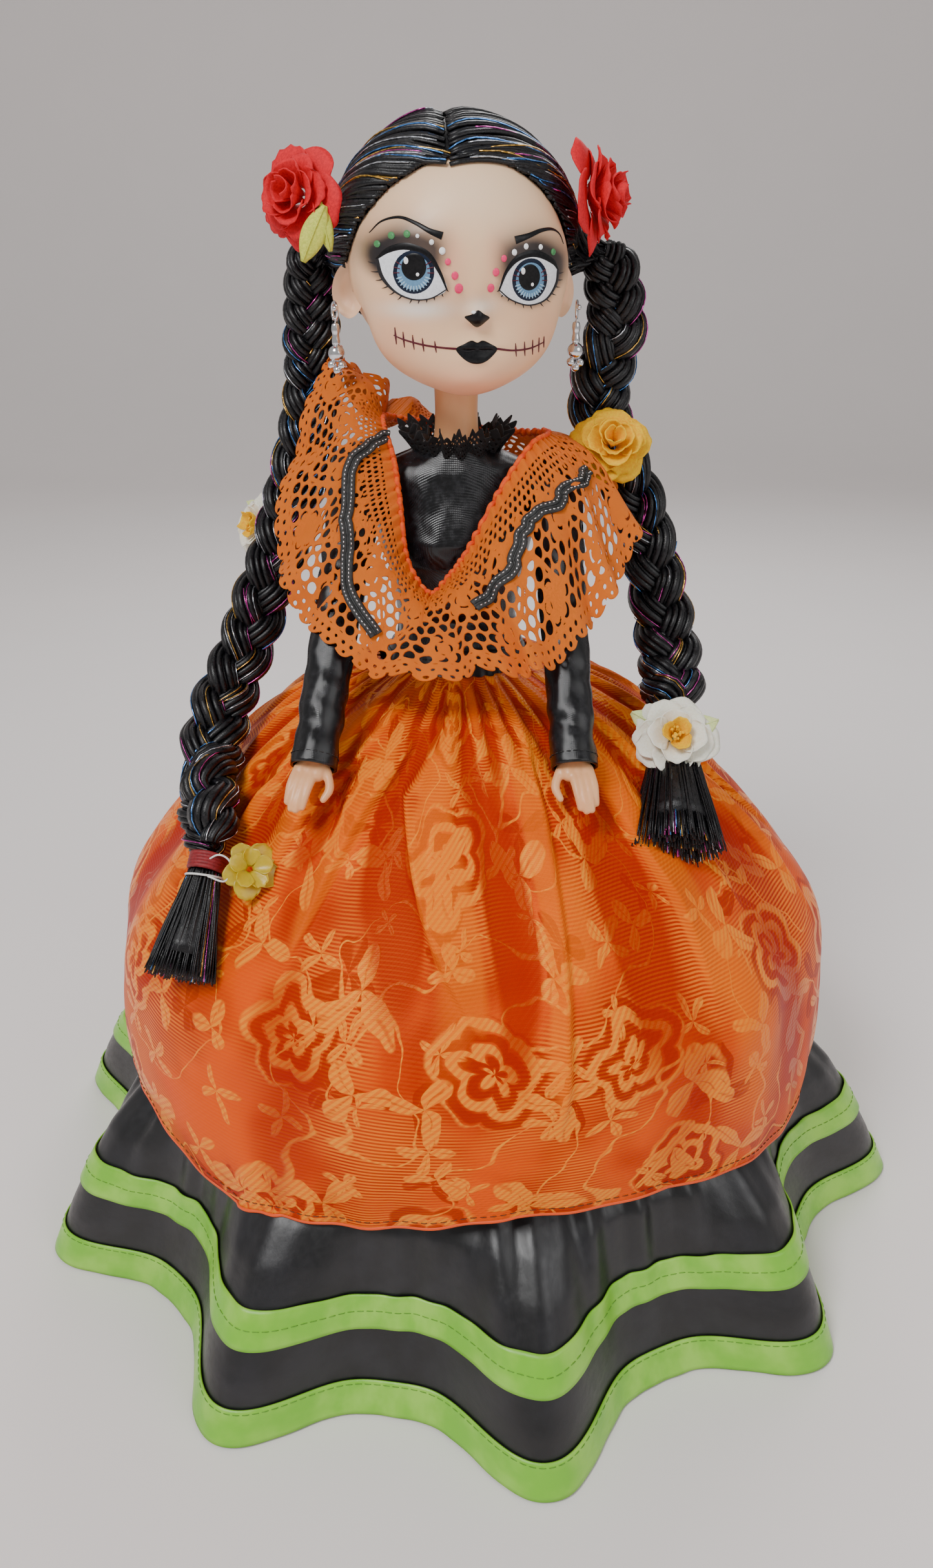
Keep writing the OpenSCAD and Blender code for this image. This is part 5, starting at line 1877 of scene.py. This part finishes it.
def make_rose_leaves():
    """Two leaves that hang down from the right red rose."""
    s = Soup()
    for start, end, wide in (((-38.5, -12.5, 316), (-45, -13.5, 302.5), 6.5),
                             ((-40, -11, 317), (-37.5, -13, 305), 4.0)):
        start, end = np.array(start, float), np.array(end, float)
        v = np.linspace(0, 1, 16)[:, None, None]
        q = np.linspace(-1, 1, 9)[None, :, None]
        half = wide / 2 * np.sin(np.pi * np.clip(v, 0.03, 0.97)) ** 0.7
        side = unit(np.cross(end - start, [0, -1, 0]))
        bend = np.array([0, -1.0, 0]) * (1.2 * np.sin(3 * v) - 0.7 * q**2)
        p = start + (end - start) * v + side * half * q + bend
        verts, faces, _ = slab(p, 0.3, False)
        s.add(verts, faces)
        s.add(*tubes((p[:, 4] + [0, -0.3, 0])[None], 0.2, 5))
    leaf = paper_material("leaf_yellow_green", (0.72, 0.74, 0.12), (0.50, 0.56, 0.06))
    ob = s.build("rose_leaves", [leaf], "head")
    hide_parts("red_rose_leaves")


def make_flowers():
    pale_leaf = paper_material("leaf_cream_green", (0.80, 0.84, 0.42), (0.62, 0.72, 0.26))
    white = [PAPER_WHITE, PAPER_YELLOW, pale_leaf]
    bloom("rose_red_right", "red_rose_right", (-45.5, -4.5, 318.5), (-0.55, -0.8, 0.15), 13.5, ROSE,
          [PAPER_RED], "head", 101)
    bloom("rose_red_left", "red_rose_left", (32.5, -1.5, 318.5), (0.93, -0.28, 0.12), 14.5, ROSE,
          [PAPER_RED], "head", 102)
    bloom("rose_white_front", "white_rose_front", (60.4, -38, 174.5), (0.0, -0.82, 0.57), 13.5, OPEN_ROSE,
          white, "figure", 103, white_middle)
    bloom("rose_white_side", "white_rose_side", (-68, 23, 224), (-0.75, -0.55, 0.3), 12.5, OPEN_ROSE,
          white, "figure", 104, white_middle)
    rose = bloom("rose_yellow", "yellow_rose", (42.5, 0.5, 252.5), (0.0, -0.86, 0.5), 12.5, ROSE,
                 [PAPER_YELLOW], None, 105)
    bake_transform(rose)
    bloom("flower_yellow_clear", "yellow_flower", (-62, -69, 147), (0.35, -0.7, 0.6), 8.5, CLEAR_FLOWER,
          [clear_petal_material()], "figure", 106)


make_rose_leaves()
make_flowers()


# ---------------------------------------------------------------- earrings
EARRING = np.array([34.6, -2.0, 288.0])      # where the left drop hangs, in the head's frame


def make_hook(name, at):
    x, y, z = at
    a = np.radians(np.linspace(-60, 250, 40))
    hook = np.stack([x + np.sign(x) * 0.6 * np.cos(a), y + 2.2 * np.cos(a), z + 2 + 2.4 * np.sin(a)], -1)
    s = Soup()
    s.add(*tubes(to_world(hook)[None], 0.42, 8, (1, 0, 0)))
    s.add(*ball(to_world([x, y - 2.2, z + 2.8]), 0.8, 12))
    ob = s.build("earring_wire_" + name, [SILVER], "head")
    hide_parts("earring_hook_" + name)


def make_drop(name, at):
    """A turned bar with a ball and three beads below it, on a small loop."""
    x, y, z = at
    s = Soup()
    bar = [(0.4, -1.0), (1.0, -1.4), (1.2, -2.8), (1.0, -4.2), (1.2, -5.8), (1.05, -6.7), (0.4, -7.0)]
    p = lathe(spline(bar, 26), 24)
    s.add(to_world(p.reshape(-1, 3) + at), [grid_faces(26, 24, True)])
    s.add(*ball(to_world([x, y, z - 9.0]), 2.4, 24))
    for dx, dz in ((-1.4, -12.0), (1.4, -12.2), (0.1, -13.5)):
        s.add(*ball(to_world([x + dx, y - 0.4, z + dz]), 1.25, 16))
    ring = np.radians(np.linspace(0, 330, 24))
    loop = np.stack([x + 0 * ring, y + 0.9 * np.cos(ring), z - 0.4 + 1.0 * np.sin(ring)], -1)
    s.add(*tubes(to_world(loop)[None], 0.25, 6, (1, 0, 0)))
    ob = s.build("earring_bead_" + name, [SILVER], "drop_" + name)
    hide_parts("earring_drop_" + name)


for ear_name, mirror in (("left", (1, 1, 1)), ("right", (-1, 1, 1))):
    make_hook(ear_name, EARRING * mirror)
    make_drop(ear_name, EARRING * mirror)


# ---------------------------------------------------------------- finish of the CAD parts that stay
def finish_nodes():
    kept = {
        "stand_base": STAND, "stand_rod": STEEL, "waist_clip": STEEL, "pelvis": BODY_SKIN, "hip_axle": STEEL,
        "leg_left": BODY_SKIN, "leg_right": BODY_SKIN, "shoe_left": SHOE, "shoe_right": SHOE,
        "arm_left": BODY_SKIN, "arm_right": BODY_SKIN,
    }
    for name, material in kept.items():
        for place in bpy.data.objects[name].material_slots:
            place.material = material


finish_nodes()
